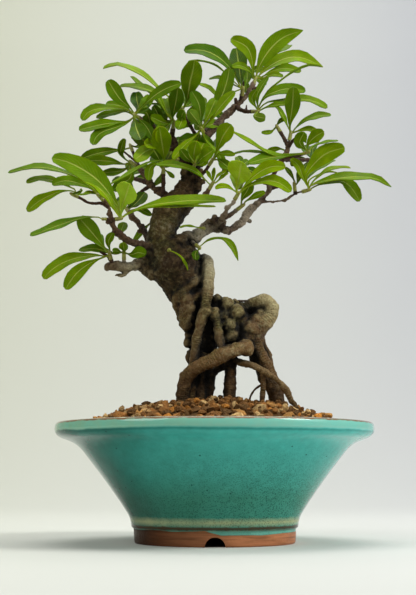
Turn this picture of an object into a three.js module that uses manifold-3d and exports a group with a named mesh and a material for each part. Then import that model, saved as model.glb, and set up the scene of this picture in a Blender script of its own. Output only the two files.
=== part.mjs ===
// A firethorn bonsai grown over bare roots, standing in a round flared pot filled with granular soil.
// Lengths are millimetres, +Z is up, and the viewer of the picture looks along +Y.
import * as THREE from "three";
import Module from "manifold-3d";

const wasm = await Module();
wasm.setup();

// The picture, 416 wide and 595 high: where its eye stands from the pot's axis and how it looks.
const PICTURE_CENTRE = [208, 297.5];
const FOCAL_PIXELS = 1183;
const EYE_DISTANCE = 710;
const EYE_HEIGHT = 41;
const EYE_ASIDE = -3.9;
const EYE_TILT = THREE.MathUtils.degToRad(8.4);
const MM_PER_PIXEL = 0.6;

// The pot: [radius, height] from its foot over the rim and back down the inside.
const POT_SIDES = 36;
const POT_OUTSIDE = [
  [46.9, 0], [47.9, 8.4], [49.3, 10], [50.8, 16], [62.3, 33], [74.4, 48.8],
  [82.2, 57.2], [91, 61.2], [94.7, 65.6], [93.4, 70],
];
const POT_INSIDE = [[90.6, 69.6], [83.5, 63.5], [69, 48.8], [56.5, 31], [45.5, 15], [24, 14], [8, 14]];
const POT_UNDERSIDE = [[8, 6], [39.5, 6], [41, 0]];
const NOTCH_COUNT = 3;
const NOTCH_RADIUS = 5.75;
const NOTCH_SINK = 0.25;
const NOTCH_FROM_AXIS = 44;
const NOTCH_LENGTH = 20;
const NOTCH_SIDES = 16;

// The screen over the drain hole.
const SCREEN_WIDTH = 30;
const SCREEN_FLOOR = 14.3;
const SCREEN_THICK = 0.8;
const SCREEN_CELLS = 3;
const SCREEN_PITCH = 8.8;
const SCREEN_HOLE = 6;

// The soil: a low mound whose granules roughen its top.
const GAP = 0.35;
const MOUND_EDGE = 66;
const MOUND_RISE = 19;
const MOUND_SPREAD = 88;
const SOIL_RINGS = 5;
const SOIL_EDGE_RADIUS = 86.6;
const SOIL_SIDE = [[83.1, 63.4], [68.6, 48.7], [56.1, 31], [45, 15.4]];
const SOIL_ROUGH_HEIGHT = 1.2;
const SOIL_ROUGH_SIDEWAYS = 1.4;
const SOIL_LEAST_TURN_RADIUS = 12;
const SOIL_SEED = 7;
const ROOT_SOCKET = 0.4;

// Wood.
const BARK_LUMPS = 0.06;
const PLAIN_BEND = 1;
const PLAIN_SWELL = 0.5;
const LIMB_SEED = 100;
const WAY_TENSION = 0.5;

// Shoots: the short green twigs that carry a spray. A shoot with a single blade is shorter and slimmer.
const SHOOT_START = 0.3;
const SHOOT_SIDES = 4;
const SHOOT_LENGTH = 5.4;
const SHOOT_SINGLE = 2.8;
const SHOOT_THICK = 1.4;
const SHOOT_SINGLE_THICK = 1.1;
const SHOOT_SWELL = 2.2;
const SHOOT_TIP_RADIUS = 0.9;
const SHOOT_SEED = 1;
const FIRST_FOOT = 0.3;
const FEET_SPREAD = 0.6;

// Blades. Each is as wide as the picture shows it, and at least so wide for its length.
const BLADE_THICK = 1.3;
const STALK_THICK = 1;
const STALK_HALF_WIDTH = 0.5;
const STALK_SHARE = 0.1;
const WIDEST_PLACE = 1.35;
const BLADE_FULLNESS = 0.7;
const BLADE_RATIO = 0.24;
const PLUMPEST_RATIO = 0.36;
const LONG_RINGS = [0, 0.18, 0.48, 0.75, 0.93];
const SHORT_RINGS = [0, 0.22, 0.58, 0.9];
const NARROW_RINGS = [0, 0.3, 0.75];
const LONG_BLADE = 34;
const NARROW_PIXELS = 6;

// How a blade is turned about its length, and where along it that is judged.
const FACING_SHARE = 0.55;
const FACING_SLANT = 0.35;
const FACING_STEP = 5;
const FACING_MOST = 90;
const SMALL_STEP = 0.1;

// Twins behind broad blades, and the sprays at the back.
const TWIN_PIXELS = 17;
const TWIN_SCALE = [0.55, 0.8];
const TWIN_REACH = [-42, -30];
const TWIN_SEED_STEP = 131;
const TWIN_SEED = 5;
const BACK_BLADES = 5;
const BACK_SPREAD = [15, 23];
const BACK_REACH = [-26, -12];
const BACK_WIDTH = [7, 10];
const BACK_UNEVEN = 0.6;
const BACK_FLATTEN = 0.8;
const BACK_LIFT = 3;
const BACK_SEED = 500;

// A blade that would touch a neighbour is trimmed, bowed or leant until it is so far from all of them.
const MARGIN = 0.45;
const TRIMS = [1, 0.86, 0.72];
const BOWS = [0, 4, -4, 8, -8];
const LEANS = [0, 4, -4, 8, -8, 13, -13, 19, -19, 26, -26];
const TOUCH_VOLUME = 1e-6;

const GLAZE = { color: 0x3f8f7d, roughness: 0.25 };
const BLACK_PLASTIC = { color: 0x23262a, roughness: 0.6 };
const GRANULES = { color: 0x9a6238, roughness: 0.95 };
const BARK = { color: 0x6a5a40, roughness: 0.9 };
const LEAF = { color: 0x5f8a18, roughness: 0.5 };

// Woody limbs as [name, sides, points], each point as [x, y] in the picture, depth towards the
// viewer in mm, and radius in mm. A limb that shares its name with a spray ends in that spray's bud.
const LIMBS = [
  ["stem", 9, [[198, 424, -4, 5.2], [198, 385, -4, 5.5], [198, 360, -4, 5.8], [205, 340, -3, 9],
    [200, 315, -2, 10], [188, 291, -1, 13.4], [176, 265, 0, 17], [166, 249, 0, 13], [163, 240, 0, 10],
    [163.5, 230, 0, 8.6], [168.5, 215, -2, 10.6], [180.5, 201, -3, 8.8], [190, 186, -5, 6.8],
    [190, 172, -6, 5.6], [184, 160, -7, 3.8]]],
  ["top_left", 6, [[186, 163, -7, 4], [179, 152, -8, 3.2], [172, 139, -9, 3], [173, 128, -8, 1.9]]],
  ["top_crown", 6, [[190, 176, -6, 4.6], [192, 170, -6, 4.2], [200, 160, -5.5, 3.8], [203, 148, -5, 3.3],
    [206, 136, -4, 3], [214, 127, -5, 2.9], [224, 117, -8, 2.8], [241, 101, -12, 2.4],
    [250, 91, -13, 1.7], [253.5, 83.5, -14, 1.4]]],
  ["top", 4, [[240, 102.5, -11.5, 1.5], [241.5, 98, -10.5, 1.3], [242, 95, -10, 1.3]]],
  ["top_stub", 4, [[237, 106, -11, 1.7], [235.5, 99, -10, 1.2]]],
  ["crown_stub", 4, [[251, 91, -13, 1.4], [258, 87, -12, 1]]],
  ["upper_right", 4, [[236, 107, -10, 1.8], [240, 109.5, -7, 1.6], [246, 111.5, -4, 1.5],
    [253, 111.5, 0, 1.3]]],
  ["thorn", 4, [[246, 111.5, -4, 1.1], [246.5, 105.5, -4, 0.5]]],
  ["top_right_base", 4, [[206, 137, -4, 1.7], [204.5, 134, -1, 1.4], [203, 131.5, 2, 1.3]]],
  ["top_mid", 4, [[203, 149, -5, 1.8], [196, 136, -4, 1.4], [191, 127, -3, 1.3], [186, 119, -2, 1.3],
    [184.5, 115, -2, 1.3]]],
  ["centre_left", 4, [[192, 173, -3, 1.8], [193, 169, 3, 1.4], [194, 166.5, 8, 1.2]]],
  ["centre_right", 4, [[194, 178, -3, 1.8], [201, 175, 3, 1.4], [206, 170, 7, 1.2], [209.5, 164.5, 10, 1.2]]],
  ["knob", 5, [[193, 180, -3, 2.4], [204, 182, 0, 1.6]]],
  ["centre", 4, [[184, 206, 1, 2.4], [196, 201, 5, 1.8], [205, 196, 9, 1.6], [209.5, 188.5, 12, 1.4]]],
  ["mid_bright", 4, [[178, 150.5, -7, 1.6], [172, 149.5, -5, 1.2], [168, 150, -2, 1.2]]],
  ["long_left", 4, [[185, 162, -5, 1.8], [181, 160, -1, 1.2], [178, 159.5, 2, 1.2]]],
  ["upper_left", 5, [[174, 144, -8, 2.2], [163, 136, -9, 1.8], [154, 129, -9, 1.6], [146, 122.5, -3, 1.5],
    [137.5, 117, 6, 1.3]]],
  ["upper_left_tip", 5, [[180, 201, -2, 3.4], [168, 196, -3, 2.5], [157, 191, -6, 2.1], [150.5, 184, -10, 2],
    [146, 176, -13, 1.8], [141, 170, -15.5, 1.6], [135.5, 165.5, -16, 1.3]]],
  ["upper_left_far", 4, [[142, 171, -16, 1.5], [136.5, 161.5, -24, 1.2], [132.5, 151, -25, 1.1]]],
  ["upper_left_twig", 4, [[137, 162.5, -24, 0.9], [128, 155, -26, 0.8], [123, 151, -26, 0.7]]],
  ["upper_left_stub", 4, [[152, 185, -9, 1.6], [141.7, 191, -9, 1.2]]],
  ["mid_left", 4, [[165, 195, -3, 1.8], [163, 190, -2, 1.6], [163.5, 182, -2, 1.5], [163.4, 174, -2, 1.3]]],
  ["trunk_left", 4, [[166, 216, -3, 1.8], [160, 218, -8, 1.4], [155, 219, -13, 1.2]]],
  ["rear_left", 5, [[150, 245, -3, 2.8], [145, 233, -12, 2.5], [139.5, 225.5, -20, 2.3], [134, 219, -25, 1.9],
    [129, 212.5, -30, 1.4]]],
  ["left_tip", 5, [[155, 247, 5, 3.4], [140, 245, 8, 2.7], [130, 241, 12, 2.5], [122, 235, 14, 2.3],
    [114, 228, 17, 2], [110, 220, 19, 1.7], [110, 212, 20, 1.6], [107, 204, 21, 1.5], [103, 200, 22, 1.4]]],
  ["left_twig", 4, [[108, 207, 21, 1.3], [101, 203.3, 20, 1.1], [95, 203.5, 19.5, 1], [88, 202.5, 19, 1],
    [82, 199, 18, 1], [78, 197, 18, 1]]],
  ["left_front", 4, [[110, 221, 19, 1.6], [113, 219.5, 22, 1.4], [117, 219, 25, 1.4]]],
  ["left_single", 4, [[110, 219, 19, 1.2], [106, 219, 20.5, 1]]],
  ["left_under", 4, [[125, 237, 13, 1.4], [123, 237.5, 8, 1.2], [121, 238, 4, 1.2]]],
  ["left_limb", 6, [[153, 262, 2, 4.6], [142, 264, 3, 4], [130, 266.5, 6, 3.5], [118, 266, 9, 2.8],
    [111, 265.5, 10, 2.7], [106.5, 266.5, 10, 1.6]]],
  ["left_low", 4, [[112, 265, 10, 1.8], [111.5, 261.5, 11.5, 1.5], [111, 259.5, 12, 1.4]]],
  ["left_shoot", 4, [[124, 265, 8, 1.6], [124, 261, 9.5, 1.3], [124, 258.5, 10, 1.3]]],
  ["left_hook", 4, [[132, 268, 6, 2.2], [127, 272.5, 6, 1.7], [122, 276, 6, 1.5], [116.5, 275, 6, 1]]],
  ["left_spike", 4, [[112, 263, 9, 1.5], [108, 256.5, 8, 1.1], [100.5, 252, 7, 0.9]]],
  ["low_right", 4, [[191, 240, 4, 2], [194, 243.5, 7.5, 1.4], [196.5, 245.5, 10, 1.3]]],
  ["right_limb", 7, [[180, 249, 1, 5], [192, 240, 3, 4.4], [202, 232, 4.5, 4], [214, 226, 5, 3.4],
    [221, 220, 8, 2.6]]],
  ["thin_right", 4, [[207, 230, 5, 1.6], [204, 228.5, 10.5, 1.1]]],
  ["front_right", 5, [[218, 223, 7, 2.3], [223, 218.5, 11, 1.8], [226, 211.5, 16, 1.5], [228, 207, 19, 1.4],
    [232, 204, 20.5, 1.3], [235, 199, 22, 1.3]]],
  ["front_right_low", 4, [[222, 219, 11, 1.9], [230, 215, 14, 1.6], [238, 209, 17, 1.4]]],
  ["fork_stub", 4, [[221, 226, 5, 2.4], [225.5, 232, 6, 2.2]]],
  ["right_top", 5, [[212, 228, 4, 3.6], [221, 229.5, 3.5, 3], [229, 230, 3, 2.7], [235, 227, 2.5, 2.5],
    [242, 222, 2, 2.4], [247, 214, 1.5, 2.3], [251.5, 209, 1, 2.2], [258, 204.5, 1.5, 2.2],
    [263, 198, 2, 2.2], [269, 190, 3, 2.1], [270, 184, 4, 2], [273, 175, 4.5, 1.8], [280, 164, 5.5, 1.8],
    [285, 156, 7, 1.8], [288, 147, 7.5, 1.6], [289.5, 139.5, 8, 1.5]]],
  ["right_limb_stub", 4, [[244.5, 218.5, 1.5, 2], [250.5, 221.5, 1.5, 1.3]]],
  ["right_mid_stub", 4, [[268, 189, 3, 1.8], [277, 187, 4, 1.1]]],
  ["right_tip", 4, [[259, 202, 2, 2.2], [266, 202, 2.5, 1.6], [275, 201.5, 3.5, 1.4], [284, 200.5, 4, 1.4],
    [290, 197, 5, 1.4], [296, 193.3, 6, 1.4], [303, 191.5, 8, 1.4]]],
  ["right_inner", 4, [[295.5, 195, 6, 1.4], [295, 190.5, 6.5, 1.2]]],
  ["right_stub", 4, [[288, 146, 7.5, 1.7], [283, 136.5, 7, 1.4], [280, 131.5, 6, 1.3]]],
  ["right_bud", 4, [[288.5, 146, 8, 1.6], [294.5, 139, 12.5, 1]]],
  ["right_mid", 4, [[285, 156.5, 8, 1.6], [295, 156.5, 11, 1.2], [302.5, 154, 14, 1.1]]],
  ["right_behind", 4, [[288, 150, 7, 1.5], [286.5, 150.5, 2.5, 1.2]]],
  ["trunk_front", 4, [[166, 253, 9, 1.7], [168.5, 250.5, 16, 1]]],
  ["back_top", 4, [[188, 166, -8, 2.4], [189, 158, -22, 1.7], [190, 150, -36, 1.4]]],
  ["back_left", 4, [[163, 136, -9, 1.8], [156, 135, -22, 1.5], [150, 134, -34, 1.4]]],
  ["back_crown", 4, [[206, 136, -5, 2.2], [206, 124, -22, 1.6], [205, 113, -38, 1.4]]],
  ["back_low", 4, [[151, 184, -10, 2], [142, 181, -20, 1.6], [132, 178, -31, 1.4]]],
  ["back_high", 4, [[241, 102, -12, 1.9], [243, 89, -25, 1.5], [245, 78, -37, 1.4]]],
  ["back_right", 4, [[283, 159, 6, 1.8], [296, 160, -8, 1.5], [309, 160, -21, 1.4]]],
  ["back_mid", 4, [[270, 184, 4, 2], [256, 178, -14, 1.6], [242, 171, -30, 1.4]]],
];

// Roots, on the same plan: they run over the soil and end in it.
const ROOTS = [
  ["loop", 5, [[196, 268, -4, 4.4], [202, 261, 0, 4.4], [206.5, 261, 5, 4.4], [208, 272, 9, 4.5],
    [207.5, 290, 11, 4.2], [206, 309, 11, 3.6]]],
  ["wrap_high", 5, [[203, 276.5, 7, 3.2], [190, 286, 11, 3.3], [177.5, 296, 9, 3.3], [178, 306, 5, 3.3],
    [184, 318, 1, 3.2], [193, 329, -4, 3.2]]],
  ["wrap_low", 5, [[203, 291, 9, 3], [190.5, 302, 10, 3], [186, 312, 8, 3], [187.5, 322, 4, 3],
    [193, 333, 0, 3]]],
  ["side_high", 5, [[193, 330, -1, 2.6], [188.5, 338, 0, 3], [194, 348, 0, 2.2]]],
  ["side_low", 5, [[195, 350, 0, 2.2], [189.5, 358.5, 0, 2.7], [193, 368, 0, 2.3]]],
  ["long_front", 5, [[207, 304, 11, 3.3], [201, 322, 11, 3.4], [197, 340, 10, 3.3], [194, 360, 9, 3.2],
    [192, 380, 9, 3.1], [190, 402, 9, 3.1], [189, 424, 9, 2.9]]],
  ["short_front", 5, [[214, 308, 11, 2.7], [218, 325, 11, 2.8], [220, 340, 11, 2.8], [223, 354, 14, 2.8]]],
  ["burl", 7, [[203, 304, -1, 6.5], [213, 310, 0, 8.2], [226, 318, 2, 9.8], [240, 323, 2, 8.7],
    [249, 332, 0, 6]]],
  ["moss_b", 5, [[236, 319, 9, 3], [236, 313, 10, 4.4], [237, 307, 8, 2.6]]],
  ["moss_d", 5, [[232, 343, 6, 2.8], [232, 336, 8, 4.6], [233, 329, 8, 2.8]]],
  ["moss_e", 5, [[216, 308, 5, 2.6], [217.5, 302.5, 6, 3.4], [218.5, 298.5, 5, 2]]],
  ["right_loop", 6, [[242, 311, 3, 3.6], [247, 306, 4, 3.4], [256, 302.5, 4, 4.6], [266, 302.5, 3, 5.5],
    [270, 309, 3, 5.4], [268, 316.5, 3, 6.2], [261.5, 323.5, 4, 6.8], [256, 333, 4, 6.2], [255, 343, 4, 5.4],
    [258.5, 355, 3, 6], [264, 368, 1, 6.3], [269.5, 380, 0, 6], [275, 392, 0, 5.8], [278, 424, 0, 4.8]]],
  ["diagonal", 7, [[249, 342, 5, 4.2], [245, 347.5, 13, 4.5], [237, 349.5, 16, 4.9], [225, 354, 17, 4.8],
    [210, 361.5, 17, 4.7], [197, 368, 16, 4.5], [187, 377.5, 14, 4.2], [182.5, 390, 12, 4],
    [182, 405, 11, 3.9], [182, 427, 11, 3.6]]],
  ["down_right", 5, [[229, 345, 9, 3.2], [230.5, 358, 8, 3.7], [230, 372, 7, 4], [230, 386, 7, 4.2],
    [229.5, 402, 7, 4], [229.5, 424, 7, 3.6]]],
  ["down_mid", 5, [[205, 352, 6, 4], [201, 366, 6, 3.9], [200, 380, 6, 4], [200, 402, 6, 4],
    [200, 424, 6, 3.7]]],
  ["down_inner", 5, [[227, 363.5, 2, 4.6], [215, 366.5, 3, 5.3], [209.5, 379, 4, 3.9], [208, 402, 3, 3.6],
    [208, 424, 3, 3.3]]],
  ["down_left", 5, [[191, 366, 6, 3.2], [190, 385, 4, 3.6], [191, 405, 4, 3.8], [191, 426, 4, 3.4]]],
  ["thin", 5, [[232, 356, 11, 2.8], [238, 361.5, 11, 2.4], [248, 364, 12, 2.1], [258, 368, 13, 1.9],
    [268, 374, 13, 1.9], [278, 381, 12, 1.9], [286, 390, 11, 1.9], [291, 400, 10, 1.9], [297, 409, 9, 1.9],
    [304, 424, 8, 1.7]]],
  ["thin_branch", 5, [[260.5, 369, 13, 1.8], [263, 377, 12, 1.8], [263, 388, 11, 1.8], [262, 402, 10, 1.8],
    [261, 421, 10, 1.6]]],
  ["rootlet", 4, [[263, 384, 11, 0.9], [258, 387, 9, 0.75], [254, 390.5, 8, 0.7], [250, 398, 8, 0.7],
    [249, 410, 8, 0.6]]],
  ["bridge", 4, [[228, 304, 4, 1.4], [232, 301.5, 4, 0.9], [239, 301, 4, 0.8], [248, 301, 4, 0.8]]],
  ["back_left", 5, [[200, 326, -5, 4.4], [197, 345, -11, 3.7], [196, 362, -14, 3.5], [193, 384, -17, 3.5],
    [192, 402, -18, 3.5], [192, 424, -18, 3.1]]],
  ["back_mid", 5, [[225, 328, -3, 4], [228, 346, -10, 3.4], [230, 365, -13, 3.2], [231, 402, -17, 3.2],
    [231, 423, -17, 2.9]]],
  ["back_right", 5, [[256, 332, 0, 4.6], [262, 348, -7, 3.6], [268, 362, -10, 3.4], [276, 402, -16, 3.4],
    [278, 423, -16, 3]]],
];

// Sprays as [name, blades], each blade as [how far its tip reaches towards the viewer in mm, its width
// in the picture, its way through the picture up to the tip, and "under" where its underside shows].
const SPRAYS = [
  ["left_tip", [
    [-4, 9.5, [[97, 190], [92, 185], [83, 179.5], [70, 174], [55, 169], [40, 167], [22, 169], [8, 172]]],
    [4, 10, [[96, 192], [87, 186], [75, 182], [64, 180.5], [52, 184]]],
    [6, 2.5, [[104, 196], [106, 190.5]]]]],
  ["left_twig", [
    [4, 9, [[74, 191], [65, 190.5], [55, 193], [45, 197.5], [36, 203], [27, 211]]],
    [-3, 7, [[76, 190], [66, 185], [52, 180], [38, 178.5], [26, 182]]],
    [-8, 3.5, [[84, 194], [90, 192], [97, 193.5]]],
    [8, 3, [[80, 192], [81, 189]]]]],
  ["left_front", [
    [8, 21, [[119, 209], [113, 199], [105, 187.5], [95, 177.5], [80, 167.5], [66, 161], [52, 158]]],
    [26, 22, [[122, 206], [126, 195], [129.5, 184]]],
    [10, 12.5, [[127, 213], [138, 208.5], [152, 204.5], [172, 202], [195, 200], [226, 200.5]]],
    [4, 6, [[127, 214], [140, 209], [158, 206.5], [185, 206], [215.5, 206]]],
    [-12, 10, [[113, 207], [107, 196], [97, 186], [84, 179]]]]],
  ["left_low", [
    [4, 11, [[105, 256], [97, 255], [85, 256], [72, 259], [60, 264], [50, 271], [43.5, 278.5]]],
    [8, 14, [[105, 256.5], [95, 260.5], [84, 267], [74, 276], [65.5, 289]]],
    [2, 18, [[105, 248], [97, 238.5], [89, 229], [79, 217.5]]],
    [0, 8, [[109.5, 249], [108.5, 241], [113, 232.5]]]]],
  ["left_shoot", [
    [4, 9, [[124, 250], [123, 243]]],
    [2, 6, [[119, 251.5], [113, 250]]],
    [8, 12, [[131, 254.5], [138, 252.5], [145.5, 254]]],
    [-6, 7.5, [[116, 253.7], [108, 251.5], [95, 248.5], [79, 249]]]]],
  ["left_single", [
    [2, 9, [[100, 217], [90, 216.7], [80, 218], [70, 221], [60, 224.5], [50, 228], [40, 232], [30, 235]]]]],
  ["left_under", [
    [-8, 10, [[121, 231], [124.5, 222]]]]],
  ["trunk_left", [
    [-10, 6, [[147, 226], [133, 241]]]]],
  ["rear_left", [
    [2, 7, [[140, 209.5], [151.5, 215]]],
    [-4, 14, [[137, 202], [145, 192]]],
    [-24, 12, [[124, 204], [120, 196]]],
    [-20, 12, [[134, 204], [138, 198]]],
    [-10, 10, [[118, 206], [108, 200]]]]],
  ["upper_left_tip", [
    [2, 7, [[127, 160], [121, 153.5], [122, 145], [124.5, 138.5]]],
    [-4, 10, [[125, 164], [112, 161.5], [100, 160.5], [88, 160.5]]],
    [-8, 8, [[126, 168.5], [116, 171.5], [102.5, 172.5]]],
    [4, 13, [[131, 176], [124, 182.5], [113, 190]]]]],
  ["upper_left_far", [
    [2, 10.5, [[122, 149.5], [108, 151], [94, 154], [81, 158.5]]],
    [-4, 3, [[137, 146.5], [142, 143]]]]],
  ["mid_left", [
    [6, 14, [[159, 159], [154, 150], [149, 141]]],
    [4, 9.5, [[157, 164], [150, 168], [148.5, 180]]],
    [3, 4.5, [[168, 172], [174, 177.5]]],
    [-4, 6.5, [[160, 179], [154.5, 185]]],
    [10, 20, [[164, 157], [162, 143], [159.5, 127]]]]],
  ["mid_bright", [
    [6, 15, [[160, 146.5], [148, 150], [135, 160.5]]]]],
  ["long_left", [
    [4, 5.5, [[165, 160], [150, 161.5], [138, 168], [124, 176], [111, 183.5]]]]],
  ["upper_left", [
    [2, 8.5, [[127, 109.5], [112, 107.5], [98, 108.5], [88, 112], [82, 120]]],
    [-4, 6.5, [[125, 111], [112, 113], [96, 117]]],
    [6, 9.5, [[127, 121], [113, 122.5], [98, 125], [79, 129.5]]],
    [8, 9.5, [[127, 122.5], [116, 127], [103, 131.5], [96, 137], [93, 144.5]]],
    [4, 15, [[130, 107.5], [121, 100], [114, 90], [108, 80]]],
    [-6, 14, [[138, 108], [137, 100], [136, 92]]],
    [-10, 7, [[126, 107.5], [116, 104.5], [106, 103]]],
    [6, 12, [[147, 102], [157, 93.5], [168, 87.5], [181, 83]]],
    [10, 17, [[136, 127], [141, 139.5]]],
    [4, 10, [[146, 126], [153, 139]]],
    [-8, 8, [[143, 110], [147.5, 103]]]]],
  ["top_left", [
    [2, 16, [[173, 115], [176, 101], [178, 88]]],
    [4, 11, [[163, 122], [151, 116.5]]],
    [-4, 8.5, [[166, 112], [160, 99], [154, 92], [140, 87], [128, 85.5], [119.5, 86]]],
    [-10, 7.5, [[164, 108], [150, 92], [140, 84], [131, 76]]],
    [4, 10.5, [[161, 119], [157, 112], [153.5, 105.5]]],
    [-6, 3, [[164, 112], [160, 105], [148, 103]]]]],
  ["top_mid", [
    [-2, 9.5, [[176, 103], [166, 94], [157, 86], [142, 74.5], [130, 67.5], [118, 64.5], [103, 68]]],
    [6, 22, [[187, 99], [190, 82], [193, 70], [194.5, 60.5]]],
    [3, 11, [[182, 120], [178, 129]]]]],
  ["top_right_base", [
    [6, 10, [[211, 119], [222, 104.5], [234.5, 91]]],
    [8, 8.5, [[193, 137.5], [183, 146.5], [173, 159]]],
    [2, 14, [[201, 118], [199, 104], [192, 91]]],
    [4, 12, [[197, 121], [188.5, 110.5]], "under"],
    [-4, 13, [[209, 114], [215, 101], [222, 90.5]]],
    [-6, 15, [[214, 110], [222, 95], [227, 81], [229.5, 68]]],
    [-2, 13, [[194, 137], [179, 141]]],
    [6, 6, [[207, 141], [215, 149], [221, 158], [226, 168]]]]],
  ["top", [
    [2, 13.5, [[237, 79], [230, 67.5], [218, 56.5], [203, 50], [184, 50]]],
    [-4, 19, [[240, 74], [236.5, 48]]],
    [-8, 11, [[247, 80], [247, 66]]],
    [4, 3.8, [[233, 80], [222, 69.5], [212, 63.5], [200, 60.5], [188, 61]]],
    [-4, 4.5, [[231, 83], [220, 77.5], [209, 78.5]]],
    [6, 5, [[229, 93], [217, 94], [208, 87], [198, 83]]]]],
  ["top_crown", [
    [4, 16, [[253, 70], [251.5, 57], [246, 46], [231, 38.5]]],
    [8, 7, [[250, 71], [241, 65.5], [232, 66.5]]],
    [2, 19.5, [[259, 67], [269, 50.5], [283, 37.5], [303, 30]]],
    [-4, 12, [[264, 70], [277, 61.5], [290, 57], [304, 58], [323, 66.5]]],
    [4, 7.5, [[263, 76], [272, 71], [285, 68], [301, 71]]],
    [6, 4.5, [[265, 77.5], [273, 74], [283, 76]]]]],
  ["upper_right", [
    [-6, 4.5, [[265, 94], [276, 84], [287, 75.5], [298, 69.5], [310, 64.5], [323, 66.5]]],
    [2, 11, [[264, 97.5], [274, 92], [287, 88.5], [305.5, 90.5]]],
    [-3, 9, [[266, 102.5], [280, 100.5], [300, 99], [315, 101], [327.5, 107.5]]],
    [6, 4.5, [[266, 107], [276, 104.5], [287, 103.5]]],
    [8, 9.5, [[255, 116], [265.5, 118.5]], "under"],
    [-2, 6.5, [[257, 96], [261, 87], [267.5, 77]]],
    [4, 8, [[252, 99], [256, 90]]]]],
  ["right_top", [
    [14, 16, [[290, 123], [292.5, 105], [293.5, 87]]],
    [4, 6.5, [[297, 126], [307, 119], [318, 115.5], [331, 114.5]]],
    [0, 5, [[297, 131], [307, 128.5], [318, 130.5]]],
    [-8, 5.5, [[286, 122], [281, 112], [274.5, 104]]]]],
  ["right_stub", [
    [-4, 4.5, [[276.5, 126], [280, 121], [286.5, 117]]],
    [4, 4.5, [[271, 131.5], [262, 132.5]]]]],
  ["right_mid", [
    [8, 8.5, [[290, 155], [276, 156.5], [262, 159], [248, 163]]],
    [4, 6.5, [[282, 155], [266, 151.5], [250, 141.5], [231, 130.5]]],
    [0, 4.5, [[280, 154], [262, 152.5], [246, 150.8], [232, 154]]],
    [6, 13, [[308, 144.5], [314, 137.5], [323.5, 131.5]]],
    [2, 13, [[300, 143], [304, 132.5]]],
    [-4, 3.2, [[311, 147.5], [322, 142.5], [338, 140]]]]],
  ["right_behind", [
    [-4, 6, [[279, 148.5], [267, 151]]]]],
  ["right_tip", [
    [6, 10.5, [[312, 184.5], [326, 180], [345, 177], [362, 176.5], [377, 178.5], [391.5, 186.5]]],
    [-4, 9, [[320, 184], [340, 180.5], [351, 187], [360, 201]]],
    [-6, 5.5, [[313, 181], [322, 173.5], [332, 168], [342, 167], [350.5, 167.5]]],
    [-12, 4, [[309, 180], [320, 174], [332, 171.5], [346, 175]]],
    [4, 19, [[306, 176], [314, 164], [327, 153], [344.5, 147.5]]],
    [2, 9, [[303, 177], [299, 166], [291, 158.5]]]]],
  ["right_inner", [
    [2, 6.5, [[298, 181], [300.5, 169]]],
    [0, 4.5, [[295, 182], [291, 174], [285.5, 167]]]]],
  ["front_right", [
    [14, 25, [[237, 187], [239.5, 173], [241.5, 162]]],
    [6, 13, [[246, 184], [258, 173], [271, 166.5], [285.5, 166]]],
    [4, 9.5, [[248, 186], [260, 181.5], [272, 180.5], [282, 184], [291, 191.5]]],
    [-2, 5, [[229, 187], [222, 185.5], [215, 188]]]]],
  ["front_right_low", [
    [6, 11, [[242, 199], [247, 191], [251.5, 182]]],
    [-4, 6.5, [[246, 201], [255, 196], [265, 191.5]]]]],
  ["centre", [
    [8, 7.5, [[204, 178], [196, 171.5], [185, 167], [172, 164], [156, 164.5]]],
    [0, 3.5, [[213, 177], [214, 167.5]]],
    [4, 2.8, [[218, 175], [226, 170.5]]],
    [2, 3.2, [[216, 182], [222, 176.5], [228, 172.5]]],
    [-4, 3.5, [[211, 178], [207, 170.5]]]]],
  ["centre_right", [
    [4, 17.5, [[217, 150], [223, 136], [231, 124.5]]],
    [2, 6, [[219, 154], [226, 153], [234.5, 154.5]]],
    [4, 11, [[219, 160], [230, 168.5]]]]],
  ["centre_left", [
    [4, 14, [[202, 158], [213, 150]]],
    [0, 13, [[194, 153], [196.5, 141.5]]],
    [2, 8, [[201, 164], [208, 158]]],
    [4, 9, [[187, 158], [180.5, 149.5]]]]],
  ["low_right", [
    [4, 6.5, [[207, 240.5], [218, 238], [227, 240.5], [234, 248.5], [238, 260.5]]],
    [6, 8, [[195.5, 253], [196, 259.5]]]]],
  ["thin_right", [
    [-4, 2.4, [[195, 226.5], [187, 225.5], [179.5, 227]]]]],
  ["trunk_front", [
    [2, 2.6, [[176, 252.5], [182, 257.5], [186, 264], [187.5, 270]]]]],
];

// The sprays at the back; each ends the limb of its name.
const BACK_SPRAYS = [
  "back_top", "back_left", "back_crown", "back_low", "back_high", "back_right", "back_mid",
];

function at(x, y, depth) {
  const across = (x - PICTURE_CENTRE[0]) / FOCAL_PIXELS;
  const up = (PICTURE_CENTRE[1] - y) / FOCAL_PIXELS;
  const forward = Math.cos(EYE_TILT) - up * Math.sin(EYE_TILT);
  const rise = Math.sin(EYE_TILT) + up * Math.cos(EYE_TILT);
  const reach = (EYE_DISTANCE - depth) / forward;
  return new THREE.Vector3(EYE_ASIDE + across * reach, -depth, EYE_HEIGHT + rise * reach);
}

// The spot of the picture on which a point in space falls.
function spot(point) {
  const away = EYE_DISTANCE + point.y;
  const above = point.z - EYE_HEIGHT;
  const forward = away * Math.cos(EYE_TILT) + above * Math.sin(EYE_TILT);
  const rise = above * Math.cos(EYE_TILT) - away * Math.sin(EYE_TILT);
  return new THREE.Vector2(
    PICTURE_CENTRE[0] + (FOCAL_PIXELS * (point.x - EYE_ASIDE)) / forward,
    PICTURE_CENTRE[1] - (FOCAL_PIXELS * rise) / forward,
  );
}

function drawsFrom(seed) {
  let state = seed;
  return () => {
    state = (Math.imul(state, 1664525) + 1013904223) >>> 0;
    return state / 4294967296;
  };
}

function solidOf(points, faces) {
  const vertProperties = new Float32Array(points.flatMap((point) => point.toArray()));
  const triVerts = new Uint32Array(faces.flat());
  return new wasm.Manifold(new wasm.Mesh({ numProp: 3, vertProperties, triVerts }));
}

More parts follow.
